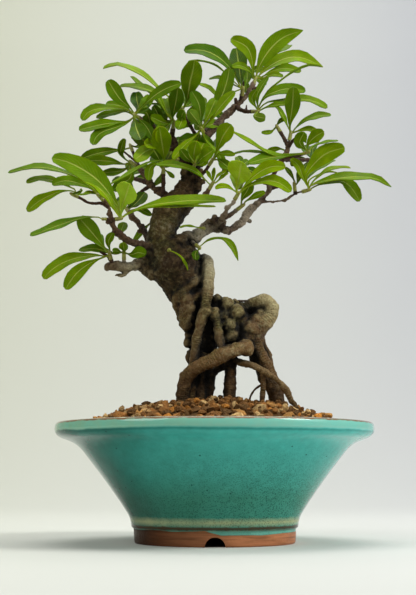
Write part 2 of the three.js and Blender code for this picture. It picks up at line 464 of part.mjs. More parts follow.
function solidFrom(geometry) {
  const spots = geometry.getAttribute("position");
  const points = [];
  const known = new Map();
  const renamed = [];
  for (let i = 0; i < spots.count; i += 1) {
    const point = new THREE.Vector3().fromBufferAttribute(spots, i);
    const key = point.toArray().map((value) => Math.round(value * 1000)).join();
    if (!known.has(key)) {
      known.set(key, points.length);
      points.push(point);
    }
    renamed.push(known.get(key));
  }
  const order = geometry.index ? [...geometry.index.array] : renamed.map((_, i) => i);
  const faces = [];
  for (let i = 0; i < order.length; i += 3) {
    const face = order.slice(i, i + 3).map((n) => renamed[n]);
    if (new Set(face).size === 3) {
      faces.push(face);
    }
  }
  return solidOf(points, faces);
}

// Rings of equal count skinned into one closed solid that ends in a point. With alike faces, the rings'
// even sides are split the other way, so that both halves of a blade match.
function skin(rings, end, alikeFaces = false) {
  const sides = rings[0].length;
  const points = rings.flat();
  const faces = [];
  for (let i = 0; i + 1 < rings.length; i += 1) {
    for (let j = 0; j < sides; j += 1) {
      const next = (j + 1) % sides;
      const a = i * sides + j;
      const b = i * sides + next;
      const c = a + sides;
      const d = b + sides;
      if (alikeFaces && j % 2 === 0) {
        faces.push([a, b, c], [b, d, c]);
      } else {
        faces.push([a, b, d], [a, d, c]);
      }
    }
  }
  const last = (rings.length - 1) * sides;
  points.push(end);
  for (let j = 0; j < sides; j += 1) {
    faces.push([points.length - 1, last + j, last + ((j + 1) % sides)]);
  }
  for (let j = 1; j + 1 < sides; j += 1) {
    faces.push([0, j + 1, j]);
  }
  return solidOf(points, faces);
}

// A round limb through its points; `grown` widens it and lengthens its end.
function tube(centres, radii, sides, draw, grown = 0) {
  const curve = new THREE.CatmullRomCurve3(centres, false, "catmullrom", WAY_TENSION);
  const rings = [];
  let side = new THREE.Vector3();
  centres.forEach((centre, i) => {
    const tangent = curve.getTangent(i / (centres.length - 1));
    if (i === 0) {
      side.set(0, 1, 0);
      if (Math.abs(tangent.y) > 0.8) {
        side.set(1, 0, 0);
      }
    }
    side = side.addScaledVector(tangent, -side.dot(tangent)).normalize();
    const other = new THREE.Vector3().crossVectors(tangent, side);
    const middle = centre.clone();
    if (i === centres.length - 1) {
      middle.addScaledVector(tangent, grown);
    }
    const ring = [];
    for (let j = 0; j < sides; j += 1) {
      const turn = (2 * Math.PI * j) / sides;
      const radius = radii[i] * (1 + BARK_LUMPS * (2 * draw() - 1)) + grown;
      ring.push(
        middle
          .clone()
          .addScaledVector(side, radius * Math.cos(turn))
          .addScaledVector(other, radius * Math.sin(turn)),
      );
    }
    rings.push(ring);
  });
  const finish = centres.at(-1).clone();
  finish.addScaledVector(curve.getTangent(1), grown);
  return skin(rings, finish);
}

// A limb without the points that hardly bend or swell it.
function plainer(path) {
  const kept = [path[0]];
  for (let i = 1; i + 1 < path.length; i += 1) {
    const [before, here, after] = [kept.at(-1), path[i], path[i + 1]];
    const line = new THREE.Line3(at(...before.slice(0, 3)), at(...after.slice(0, 3)));
    const point = at(...here.slice(0, 3));
    const share = line.closestPointToPointParameter(point, true);
    const bend = line.at(share, new THREE.Vector3()).distanceTo(point);
    const swell = here[3] - (before[3] + share * (after[3] - before[3]));
    if (bend > PLAIN_BEND || Math.abs(swell) > PLAIN_SWELL) {
      kept.push(here);
    }
  }
  kept.push(path.at(-1));
  return kept;
}

function limbSolid([, sides, whole], number, grown = 0) {
  const path = plainer(whole);
  const centres = path.map(([x, y, depth]) => at(x, y, depth));
  const radii = path.map((point) => point[3]);
  return tube(centres, radii, sides, drawsFrom(LIMB_SEED + number), grown);
}

function latheSolid(profile, sides) {
  const outline = [...profile, profile[0]].map(([radius, height]) => new THREE.Vector2(radius, height));
  return solidFrom(new THREE.LatheGeometry(outline, sides).rotateX(Math.PI / 2));
}

function makePot() {
  let pot = latheSolid([...POT_OUTSIDE, ...POT_INSIDE, ...POT_UNDERSIDE], POT_SIDES);
  for (let i = 0; i < NOTCH_COUNT; i += 1) {
    const cut = new THREE.CylinderGeometry(NOTCH_RADIUS, NOTCH_RADIUS, NOTCH_LENGTH, NOTCH_SIDES);
    cut.translate(0, -NOTCH_FROM_AXIS, -NOTCH_SINK);
    cut.rotateZ((2 * Math.PI * i) / NOTCH_COUNT);
    pot = pot.subtract(solidFrom(cut));
  }
  return pot;
}

function makeScreen() {
  const middle = SCREEN_FLOOR + SCREEN_THICK / 2;
  const plate = new THREE.BoxGeometry(SCREEN_WIDTH, SCREEN_WIDTH, SCREEN_THICK).translate(0, 0, middle);
  const holes = [];
  for (let row = 0; row < SCREEN_CELLS; row += 1) {
    for (let column = 0; column < SCREEN_CELLS; column += 1) {
      const hole = new THREE.BoxGeometry(SCREEN_HOLE, SCREEN_HOLE, SCREEN_THICK * 3);
      const x = (column - (SCREEN_CELLS - 1) / 2) * SCREEN_PITCH;
      const y = (row - (SCREEN_CELLS - 1) / 2) * SCREEN_PITCH;
      holes.push(solidFrom(hole.translate(x, y, middle)));
    }
  }
  return solidFrom(plate).subtract(wasm.Manifold.union(holes));
}

function moundHeight(radius) {
  return MOUND_EDGE + MOUND_RISE * (1 - (radius / MOUND_SPREAD) ** 2);
}

function makeSoil(sockets) {
  const draw = drawsFrom(SOIL_SEED);
  const rings = [];
  const ringAt = (radius, height, rough) => {
    const ring = [];
    for (let j = 0; j < POT_SIDES; j += 1) {
      const turn = (2 * Math.PI * j) / POT_SIDES;
      const out = radius + rough * SOIL_ROUGH_SIDEWAYS * (2 * draw() - 1);
      const aside = rough * SOIL_ROUGH_SIDEWAYS * (2 * draw() - 1);
      const around = turn + aside / Math.max(radius, SOIL_LEAST_TURN_RADIUS);
      const up = height + rough * SOIL_ROUGH_HEIGHT * (2 * draw() - 1);
      ring.push(new THREE.Vector3(out * Math.cos(around), out * Math.sin(around), up));
    }
    return ring;
  };
  for (const [radius, height] of [...SOIL_SIDE].reverse()) {
    rings.push(ringAt(radius, height, 0));
  }
  for (let i = SOIL_RINGS; i > 0; i -= 1) {
    const radius = (SOIL_EDGE_RADIUS * i) / SOIL_RINGS;
    const rough = i === SOIL_RINGS ? 0 : 1;
    rings.push(ringAt(radius, moundHeight(radius), rough));
  }
  const top = new THREE.Vector3(0, 0, moundHeight(0));
  const recessWidth = SCREEN_WIDTH + 2 * GAP;
  const recessTop = SCREEN_FLOOR + SCREEN_THICK + GAP;
  const recess = new THREE.BoxGeometry(recessWidth, recessWidth, recessTop);
  recess.translate(0, 0, recessTop / 2);
  return skin(rings, top).subtract(solidFrom(recess)).subtract(sockets);
}

// A blade's half width at a share of its length: a narrow stalk, then a long oval.
function halfWidth(share, width) {
  const swell = Math.max(0, (share - STALK_SHARE) / (1 - STALK_SHARE));
  const oval = Math.sin(Math.PI * swell ** WIDEST_PLACE) ** BLADE_FULLNESS;
  return Math.max(STALK_HALF_WIDTH, (width / 2) * oval);
}

// The way of a blade through space: from its foot on the shoot along the picture, drawn out in depth
// far enough for its length to suit its width.
function bladeWay(foot, blade, trim, bow, lean) {
  const [told, seenWidth, way] = blade;
  const spots = [spot(foot), ...way.map(([x, y]) => new THREE.Vector2(x, y))];
  const gone = [0];
  for (let i = 1; i < spots.length; i += 1) {
    gone.push(gone[i - 1] + spots[i].distanceTo(spots[i - 1]));
  }
  const shown = MM_PER_PIXEL * gone.at(-1);
  const whole = (MM_PER_PIXEL * seenWidth) / PLUMPEST_RATIO;
  const needed = Math.sqrt(Math.max(0, whole ** 2 - shown ** 2));
  const reach = Math.sign(told || 1) * Math.max(Math.abs(told), needed);
  const points = spots.map((place, i) => {
    if (i === 0) {
      return foot.clone();
    }
    const share = gone[i] / gone.at(-1);
    const depth = -foot.y + (reach + lean) * share + bow * Math.sin(Math.PI * share);
    return at(place.x, place.y, depth);
  });
  const curve = new THREE.CatmullRomCurve3(points, false, "catmullrom", WAY_TENSION);
  curve.trim = trim;
  return curve;
}

// How far the picture's spot moves for each millimetre that a point moves along a direction.
function pictureStep(point, direction) {
  const moved = spot(point.clone().addScaledVector(direction, SMALL_STEP));
  return moved.sub(spot(point)).divideScalar(SMALL_STEP);
}

// The way a blade faces, turned about its own length until it shows the width seen in the picture.
function bladeFacing(curve, blade, width) {
  const [, seenWidth, , side] = blade;
  const middle = curve.getPointAt(FACING_SHARE * curve.trim);
  const tangent = curve.getTangentAt(FACING_SHARE * curve.trim);
  const up = new THREE.Vector3(tangent.x > 0 ? -FACING_SLANT : FACING_SLANT, 0, 1);
  const toViewer = new THREE.Vector3(0, side === "under" ? 1 : -1, 0);
  const along = pictureStep(middle, tangent).normalize();
  let best = null;
  let bestMiss = Infinity;
  for (let degrees = 0; degrees <= FACING_MOST; degrees += FACING_STEP) {
    const turn = THREE.MathUtils.degToRad(degrees);
    const facing = up.clone().multiplyScalar(Math.cos(turn)).addScaledVector(toViewer, Math.sin(turn));
    const normal = facing.clone().addScaledVector(tangent, -facing.dot(tangent)).normalize();
    const across = new THREE.Vector3().crossVectors(tangent, normal);
    const shown = Math.abs(along.cross(pictureStep(middle, across))) * width;
    if (Math.abs(shown - seenWidth) < bestMiss) {
      bestMiss = Math.abs(shown - seenWidth);
      best = facing;
    }
  }
  return best;
}

// A blade has three corners at each ring: its two edges above and its keel below.
function bladeSolid(curve, facing, width, shares, extra) {
  const rings = shares.map((share) => {
    const along = share * curve.trim;
    const centre = curve.getPointAt(along);
    const tangent = curve.getTangentAt(along);
    const normal = facing.clone().addScaledVector(tangent, -facing.dot(tangent)).normalize();
    const across = new THREE.Vector3().crossVectors(tangent, normal);
    const half = halfWidth(share, width) + extra;
    const thick = ((share === 0 ? STALK_THICK : BLADE_THICK) + 2 * extra) / 2;
    return [
      centre.clone().addScaledVector(across, half).addScaledVector(normal, thick),
      centre.clone().addScaledVector(normal, -thick),
      centre.clone().addScaledVector(across, -half).addScaledVector(normal, thick),
    ];
  });
  const tip = curve.getPointAt(curve.trim).addScaledVector(curve.getTangentAt(curve.trim), extra);
  return skin(rings, tip, true);
}

function ringShares(blade, length) {
  if (blade[1] < NARROW_PIXELS) {
    return NARROW_RINGS;
  }
  return length > LONG_BLADE ? LONG_RINGS : SHORT_RINGS;
}

function between(range, draw) {
  return range[0] + (range[1] - range[0]) * draw();
}

// A broad blade has a shorter one behind it, on the side turned away from the viewer.
function withTwins([name, blades]) {
  const draw = drawsFrom(name.length * TWIN_SEED_STEP + TWIN_SEED);
  const whole = [...blades];
  const [foot] = LIMBS.find((limb) => limb[0] === name)[2].slice(-1);
  for (const [, width, way] of blades) {
    if (width >= TWIN_PIXELS) {
      const scale = between(TWIN_SCALE, draw);
      const shorter = way.map(([x, y]) => [foot[0] + scale * (x - foot[0]), foot[1] + scale * (y - foot[1])]);
      whole.push([between(TWIN_REACH, draw), width * scale, shorter]);
    }
  }
  return [name, whole];
}

// A spray at the back of the crown: blades all round its bud, drawn out away from the viewer.
function backSpray(name, number) {
  const draw = drawsFrom(BACK_SEED + number);
  const [[x, y]] = LIMBS.find((limb) => limb[0] === name)[2].slice(-1);
  const blades = [];
  for (let i = 0; i < BACK_BLADES; i += 1) {
    const turn = (2 * Math.PI * (i + BACK_UNEVEN * draw())) / BACK_BLADES;
    const spread = between(BACK_SPREAD, draw);
    const across = spread * Math.cos(turn);
    const down = BACK_FLATTEN * spread * Math.sin(turn);
    const way = [[x + across / 2, y + down / 2 - BACK_LIFT], [x + across, y + down]];
    blades.push([between(BACK_REACH, draw), between(BACK_WIDTH, draw), way]);
  }
  return [name, blades];
}

function apart(one, two) {
  const a = one.boundingBox();
  const b = two.boundingBox();
  for (let i = 0; i < 3; i += 1) {
    if (a.max[i] < b.min[i] || b.max[i] < a.min[i]) {
      return true;
    }
  }
  return one.intersect(two).volume() < TOUCH_VOLUME;
}

// The shoot that carries a spray, a short green twig standing on the end of its limb.
function makeShoot([name, blades]) {
  const [, , path] = LIMBS.find((limb) => limb[0] === name);
  const [last, before] = [path.at(-1), path.at(-2)].map(([x, y, depth]) => at(x, y, depth));
  const heading = last.clone().sub(before).normalize();
  const single = blades.length === 1;
  const length = single ? SHOOT_SINGLE : SHOOT_LENGTH;
  const start = last.clone().addScaledVector(heading, SHOOT_START);
  const end = start.clone().addScaledVector(heading, length);
  const thick = Math.min(path.at(-1)[3], single ? SHOOT_SINGLE_THICK : SHOOT_THICK);
  const middle = start.clone().lerp(end, 0.5);
  const swell = single ? SHOOT_TIP_RADIUS : SHOOT_SWELL;
  const radii = [thick, swell, SHOOT_TIP_RADIUS];
  const solid = tube([start, middle, end], radii, SHOOT_SIDES, drawsFrom(SHOOT_SEED));
  return { name, blades, start, heading, length, solid };
}

// The first trim, bow and lean that keep a blade clear of everything in its way, or nothing.
function clearBlade(foot, blade, inTheWay) {
  const straight = bladeWay(foot, blade, 1, 0, 0).getLength();
  const width = Math.max(blade[1] * MM_PER_PIXEL, BLADE_RATIO * straight);
  const shares = ringShares(blade, straight);
  for (const trim of TRIMS) {
    for (const bow of BOWS) {
      for (const lean of LEANS) {
        const curve = bladeWay(foot, blade, trim, bow, lean);
        const facing = bladeFacing(curve, blade, width);
        const wide = bladeSolid(curve, facing, width, shares, MARGIN);
        if (inTheWay.every((solid) => apart(wide, solid))) {
          return bladeSolid(curve, facing, width, shares, 0);
        }
      }
    }
  }
  return null;
}

function makeSprays(standing) {
  const shoots = [...SPRAYS.map(withTwins), ...BACK_SPRAYS.map(backSpray)].map(makeShoot);
  const leaves = [];
  for (const shoot of shoots) {
    const otherShoots = shoots.filter((other) => other !== shoot).map((other) => other.solid);
    const inTheWay = [...standing, ...otherShoots, ...leaves];
    const blades = [];
    shoot.blades.forEach((blade, number) => {
      const share = (number + 0.5) / shoot.blades.length;
      const along = shoot.length * (FIRST_FOOT + FEET_SPREAD * share);
      const foot = shoot.start.clone().addScaledVector(shoot.heading, along);
      const solid = clearBlade(foot, blade, inTheWay);
      if (solid) {
        blades.push(solid);
      }
    });
    leaves.push(...blades);
    shoot.whole = wasm.Manifold.union([shoot.solid, ...blades]);
  }
  return shoots;
}

// The faces of a solid's outer skin: a pocket sealed between crossing stalks is filled by leaving it out.
function outerFaces(vertices, faces) {
  const leader = Array.from({ length: vertices.length / 3 }, (_, i) => i);
  const find = (i) => {
    let top = i;
    while (leader[top] !== top) {
      leader[top] = leader[leader[top]];
      top = leader[top];
    }
    return top;
  };
  for (let i = 0; i < faces.length; i += 3) {
    leader[find(faces[i])] = find(faces[i + 1]);
    leader[find(faces[i + 1])] = find(faces[i + 2]);
  }
  const volumes = new Map();
  const corner = (n) => new THREE.Vector3().fromArray(vertices, 3 * n);
  for (let i = 0; i < faces.length; i += 3) {
    const [a, b, c] = [corner(faces[i]), corner(faces[i + 1]), corner(faces[i + 2])];
    const shell = find(faces[i]);
    volumes.set(shell, (volumes.get(shell) ?? 0) + a.dot(b.cross(c)));
  }
  return faces.filter((_, i) => volumes.get(find(faces[i - (i % 3)])) > 0);
}

function meshOf(name, solid, finish) {
  const made = solid.getMesh();
  const vertices = new Float32Array(made.vertProperties);
  const geometry = new THREE.BufferGeometry();
  geometry.setAttribute("position", new THREE.BufferAttribute(vertices, 3));
  geometry.setIndex(outerFaces(vertices, [...made.triVerts]));
  geometry.computeVertexNormals();
  const mesh = new THREE.Mesh(geometry, new THREE.MeshStandardMaterial(finish));
  mesh.name = name;
  return mesh;
}

const wood = [...LIMBS, ...ROOTS];
const trunk = wasm.Manifold.union(wood.map((limb, i) => limbSolid(limb, i)));
const inSoil = wood.map((limb, i) => [limb, i]).filter(([limb]) => ROOTS.includes(limb) || limb === LIMBS[0]);
const sockets = wasm.Manifold.union(inSoil.map(([limb, i]) => limbSolid(limb, i, ROOT_SOCKET)));
const pot = makePot();
const soil = makeSoil(sockets);
const sprays = makeSprays([trunk, soil, pot]);

const tree = new THREE.Group();
tree.add(meshOf("pot", pot, GLAZE));
tree.add(meshOf("drain_screen", makeScreen(), BLACK_PLASTIC));
tree.add(meshOf("soil", soil, GRANULES));
tree.add(meshOf("trunk", trunk, BARK));
for (const spray of sprays) {
  tree.add(meshOf("leaves_" + spray.name, spray.whole, LEAF));
}

const bounds = new THREE.Box3().setFromObject(tree);
tree.position.set(-(bounds.min.x + bounds.max.x) / 2, -(bounds.min.y + bounds.max.y) / 2, -bounds.min.z);

export default tree;
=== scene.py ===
"""Finishes the firethorn bonsai over the plain solids of its frame: pot, soil, bark and leaves."""

import math
import random

import bpy
import numpy as np
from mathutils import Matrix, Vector, kdtree, noise
from mathutils.bvhtree import BVHTree


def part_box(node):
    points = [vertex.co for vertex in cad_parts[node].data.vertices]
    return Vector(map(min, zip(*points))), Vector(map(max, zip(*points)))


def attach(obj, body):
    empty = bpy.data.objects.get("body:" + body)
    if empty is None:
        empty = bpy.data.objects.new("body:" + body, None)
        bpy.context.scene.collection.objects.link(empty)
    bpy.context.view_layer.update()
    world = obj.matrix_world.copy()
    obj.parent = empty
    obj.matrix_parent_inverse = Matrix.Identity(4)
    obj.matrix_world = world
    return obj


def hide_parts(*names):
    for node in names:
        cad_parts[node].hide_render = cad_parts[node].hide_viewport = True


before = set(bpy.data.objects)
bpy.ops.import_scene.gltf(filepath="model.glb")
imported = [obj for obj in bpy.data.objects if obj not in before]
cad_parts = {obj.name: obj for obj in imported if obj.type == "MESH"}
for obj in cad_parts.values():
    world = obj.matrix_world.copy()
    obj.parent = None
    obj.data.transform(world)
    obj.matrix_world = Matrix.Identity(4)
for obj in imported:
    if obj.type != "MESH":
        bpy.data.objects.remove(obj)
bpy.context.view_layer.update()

bl_info = {
    "name": "Firethorn bonsai",
    "version": (1, 0, 0),
    "blender": (4, 5, 0),
    "location": "3D View > Sidebar > Bonsai",
    "description": "Dresses a firethorn bonsai in its glazed pot with soil, bark and leaves",
    "category": "Object",
}

MM = 0.001

# Where a blade is widest, by spray and number: a larger number lies nearer to its tip.
USUAL_SHAPE = 1.72
SHAPES = {
    ("left_front", 1): 2.6, ("front_right", 0): 2.6, ("centre_right", 0): 2.4,
    ("right_tip", 0): 0.85, ("top_crown", 3): 1.0, ("left_front", 0): 1.3, ("left_front", 2): 1.25,
    ("top_crown", 2): 1.1, ("upper_right", 0): 1.2, ("right_mid", 1): 1.2, ("left_low", 0): 1.3,
    ("centre", 0): 1.2, ("long_left", 0): 1.2, ("left_single", 0): 1.3, ("trunk_front", 0): 1.1,
    ("low_right", 0): 0.85,
}

# Blades with a smaller number than this have a pointed tip.
SHARP = 1.12

# A blade seen from its edge is at most so many times wider than the picture shows it, and so many mm more.
FULLEST = 1.55
SPARE_WIDTH = 0.6

# The picture is 416 pixels wide and 595 high. Its eye stands so many mm before the pot's axis, over the
# table and aside, and looks up a little. A pixel shows about 0.6 mm of what stands over the axis.
PICTURE_CENTRE = (208, 297.5)
FOCAL_PIXELS = 1183
EYE_DISTANCE = 710
EYE_HEIGHT = 41
EYE_ASIDE = -3.9
EYE_TILT = math.radians(8.4)
PIXEL = 0.6

POT_LOW, POT_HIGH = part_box("pot")
AXIS = np.array([(POT_LOW.x + POT_HIGH.x) / 2, (POT_LOW.y + POT_HIGH.y) / 2, POT_LOW.z]) / MM

# Woody limbs as name, sides and points. A point is its place in the picture, its depth towards the
# viewer and its radius, both in mm. A limb that shares its name with a spray ends in that spray's bud.
LIMBS = [
  ["stem", 9, [[198, 424, -4, 5.2], [198, 385, -4, 5.5], [198, 360, -4, 5.8], [205, 340, -3, 9],
    [200, 315, -2, 10], [188, 291, -1, 13.4], [176, 265, 0, 17], [166, 249, 0, 13], [163, 240, 0, 10],
    [163.5, 230, 0, 8.6], [168.5, 215, -2, 10.6], [180.5, 201, -3, 8.8], [190, 186, -5, 6.8],
    [190, 172, -6, 5.6], [184, 160, -7, 3.8]]],
  ["top_left", 6, [[186, 163, -7, 4], [179, 152, -8, 3.2], [172, 139, -9, 3], [173, 128, -8, 1.9]]],
  ["top_crown", 6, [[190, 176, -6, 4.6], [192, 170, -6, 4.2], [200, 160, -5.5, 3.8], [203, 148, -5, 3.3],
    [206, 136, -4, 3], [214, 127, -5, 2.9], [224, 117, -8, 2.8], [241, 101, -12, 2.4],
    [250, 91, -13, 1.7], [253.5, 83.5, -14, 1.4]]],
  ["top", 4, [[240, 102.5, -11.5, 1.5], [241.5, 98, -10.5, 1.3], [242, 95, -10, 1.3]]],
  ["top_stub", 4, [[237, 106, -11, 1.7], [235.5, 99, -10, 1.2]]],
  ["crown_stub", 4, [[251, 91, -13, 1.4], [258, 87, -12, 1]]],
  ["upper_right", 4, [[236, 107, -10, 1.8], [240, 109.5, -7, 1.6], [246, 111.5, -4, 1.5],
    [253, 111.5, 0, 1.3]]],
  ["thorn", 4, [[246, 111.5, -4, 1.1], [246.5, 105.5, -4, 0.5]]],
  ["top_right_base", 4, [[206, 137, -4, 1.7], [204.5, 134, -1, 1.4], [203, 131.5, 2, 1.3]]],
  ["top_mid", 4, [[203, 149, -5, 1.8], [196, 136, -4, 1.4], [191, 127, -3, 1.3], [186, 119, -2, 1.3],
    [184.5, 115, -2, 1.3]]],
  ["centre_left", 4, [[192, 173, -3, 1.8], [193, 169, 3, 1.4], [194, 166.5, 8, 1.2]]],
  ["centre_right", 4, [[194, 178, -3, 1.8], [201, 175, 3, 1.4], [206, 170, 7, 1.2],
    [209.5, 164.5, 10, 1.2]]],
  ["knob", 5, [[193, 180, -3, 2.4], [204, 182, 0, 1.6]]],
  ["centre", 4, [[184, 206, 1, 2.4], [196, 201, 5, 1.8], [205, 196, 9, 1.6], [209.5, 188.5, 12, 1.4]]],
  ["mid_bright", 4, [[178, 150.5, -7, 1.6], [172, 149.5, -5, 1.2], [168, 150, -2, 1.2]]],
  ["long_left", 4, [[185, 162, -5, 1.8], [181, 160, -1, 1.2], [178, 159.5, 2, 1.2]]],
  ["upper_left", 5, [[174, 144, -8, 2.2], [163, 136, -9, 1.8], [154, 129, -9, 1.6], [146, 122.5, -3, 1.5],
    [137.5, 117, 6, 1.3]]],
  ["upper_left_tip", 5, [[180, 201, -2, 3.4], [168, 196, -3, 2.5], [157, 191, -6, 2.1], [150.5, 184, -10, 2],
    [146, 176, -13, 1.8], [141, 170, -15.5, 1.6], [135.5, 165.5, -16, 1.3]]],
  ["upper_left_far", 4, [[142, 171, -16, 1.5], [136.5, 161.5, -24, 1.2], [132.5, 151, -25, 1.1]]],
  ["upper_left_twig", 4, [[137, 162.5, -24, 0.9], [128, 155, -26, 0.8], [123, 151, -26, 0.7]]],
  ["upper_left_stub", 4, [[152, 185, -9, 1.6], [141.7, 191, -9, 1.2]]],
  ["mid_left", 4, [[165, 195, -3, 1.8], [163, 190, -2, 1.6], [163.5, 182, -2, 1.5], [163.4, 174, -2, 1.3]]],
  ["trunk_left", 4, [[166, 216, -3, 1.8], [160, 218, -8, 1.4], [155, 219, -13, 1.2]]],
  ["rear_left", 5, [[150, 245, -3, 2.8], [145, 233, -12, 2.5], [139.5, 225.5, -20, 2.3],
    [134, 219, -25, 1.9], [129, 212.5, -30, 1.4]]],
  ["left_tip", 5, [[155, 247, 5, 3.4], [140, 245, 8, 2.7], [130, 241, 12, 2.5], [122, 235, 14, 2.3],
    [114, 228, 17, 2], [110, 220, 19, 1.7], [110, 212, 20, 1.6], [107, 204, 21, 1.5], [103, 200, 22, 1.4]]],
  ["left_twig", 4, [[108, 207, 21, 1.3], [101, 203.3, 20, 1.1], [95, 203.5, 19.5, 1], [88, 202.5, 19, 1],
    [82, 199, 18, 1], [78, 197, 18, 1]]],
  ["left_front", 4, [[110, 221, 19, 1.6], [113, 219.5, 22, 1.4], [117, 219, 25, 1.4]]],
  ["left_single", 4, [[110, 219, 19, 1.2], [106, 219, 20.5, 1]]],
  ["left_under", 4, [[125, 237, 13, 1.4], [123, 237.5, 8, 1.2], [121, 238, 4, 1.2]]],
  ["left_limb", 6, [[153, 262, 2, 4.6], [142, 264, 3, 4], [130, 266.5, 6, 3.5], [118, 266, 9, 2.8],
    [111, 265.5, 10, 2.7], [106.5, 266.5, 10, 1.6]]],
  ["left_low", 4, [[112, 265, 10, 1.8], [111.5, 261.5, 11.5, 1.5], [111, 259.5, 12, 1.4]]],
  ["left_shoot", 4, [[124, 265, 8, 1.6], [124, 261, 9.5, 1.3], [124, 258.5, 10, 1.3]]],
  ["left_hook", 4, [[132, 268, 6, 2.2], [127, 272.5, 6, 1.7], [122, 276, 6, 1.5], [116.5, 275, 6, 1]]],
  ["left_spike", 4, [[112, 263, 9, 1.5], [108, 256.5, 8, 1.1], [100.5, 252, 7, 0.9]]],
  ["low_right", 4, [[191, 240, 4, 2], [194, 243.5, 7.5, 1.4], [196.5, 245.5, 10, 1.3]]],
  ["right_limb", 7, [[180, 249, 1, 5], [192, 240, 3, 4.4], [202, 232, 4.5, 4], [214, 226, 5, 3.4],
    [221, 220, 8, 2.6]]],
  ["thin_right", 4, [[207, 230, 5, 1.6], [204, 228.5, 10.5, 1.1]]],
  ["front_right", 5, [[218, 223, 7, 2.3], [223, 218.5, 11, 1.8], [226, 211.5, 16, 1.5], [228, 207, 19, 1.4],
    [232, 204, 20.5, 1.3], [235, 199, 22, 1.3]]],
  ["front_right_low", 4, [[222, 219, 11, 1.9], [230, 215, 14, 1.6], [238, 209, 17, 1.4]]],
  ["fork_stub", 4, [[221, 226, 5, 2.4], [225.5, 232, 6, 2.2]]],
  ["right_top", 5, [[212, 228, 4, 3.6], [221, 229.5, 3.5, 3], [229, 230, 3, 2.7], [235, 227, 2.5, 2.5],
    [242, 222, 2, 2.4], [247, 214, 1.5, 2.3], [251.5, 209, 1, 2.2], [258, 204.5, 1.5, 2.2],
    [263, 198, 2, 2.2], [269, 190, 3, 2.1], [270, 184, 4, 2], [273, 175, 4.5, 1.8], [280, 164, 5.5, 1.8],
    [285, 156, 7, 1.8], [288, 147, 7.5, 1.6], [289.5, 139.5, 8, 1.5]]],
  ["right_limb_stub", 4, [[244.5, 218.5, 1.5, 2], [250.5, 221.5, 1.5, 1.3]]],
  ["right_mid_stub", 4, [[268, 189, 3, 1.8], [277, 187, 4, 1.1]]],
  ["right_tip", 4, [[259, 202, 2, 2.2], [266, 202, 2.5, 1.6], [275, 201.5, 3.5, 1.4], [284, 200.5, 4, 1.4],
    [290, 197, 5, 1.4], [296, 193.3, 6, 1.4], [303, 191.5, 8, 1.4]]],
  ["right_inner", 4, [[295.5, 195, 6, 1.4], [295, 190.5, 6.5, 1.2]]],
  ["right_stub", 4, [[288, 146, 7.5, 1.7], [283, 136.5, 7, 1.4], [280, 131.5, 6, 1.3]]],
  ["right_bud", 4, [[288.5, 146, 8, 1.6], [294.5, 139, 12.5, 1]]],
  ["right_mid", 4, [[285, 156.5, 8, 1.6], [295, 156.5, 11, 1.2], [302.5, 154, 14, 1.1]]],
  ["right_behind", 4, [[288, 150, 7, 1.5], [286.5, 150.5, 2.5, 1.2]]],
  ["trunk_front", 4, [[166, 253, 9, 1.7], [168.5, 250.5, 16, 1]]],
  ["back_top", 4, [[188, 166, -8, 2.4], [189, 158, -22, 1.7], [190, 150, -36, 1.4]]],
  ["back_left", 4, [[163, 136, -9, 1.8], [156, 135, -22, 1.5], [150, 134, -34, 1.4]]],
  ["back_crown", 4, [[206, 136, -5, 2.2], [206, 124, -22, 1.6], [205, 113, -38, 1.4]]],
  ["back_low", 4, [[151, 184, -10, 2], [142, 181, -20, 1.6], [132, 178, -31, 1.4]]],
  ["back_high", 4, [[241, 102, -12, 1.9], [243, 89, -25, 1.5], [245, 78, -37, 1.4]]],
  ["back_right", 4, [[283, 159, 6, 1.8], [296, 160, -8, 1.5], [309, 160, -21, 1.4]]],
  ["back_mid", 4, [[270, 184, 4, 2], [256, 178, -14, 1.6], [242, 171, -30, 1.4]]],
]

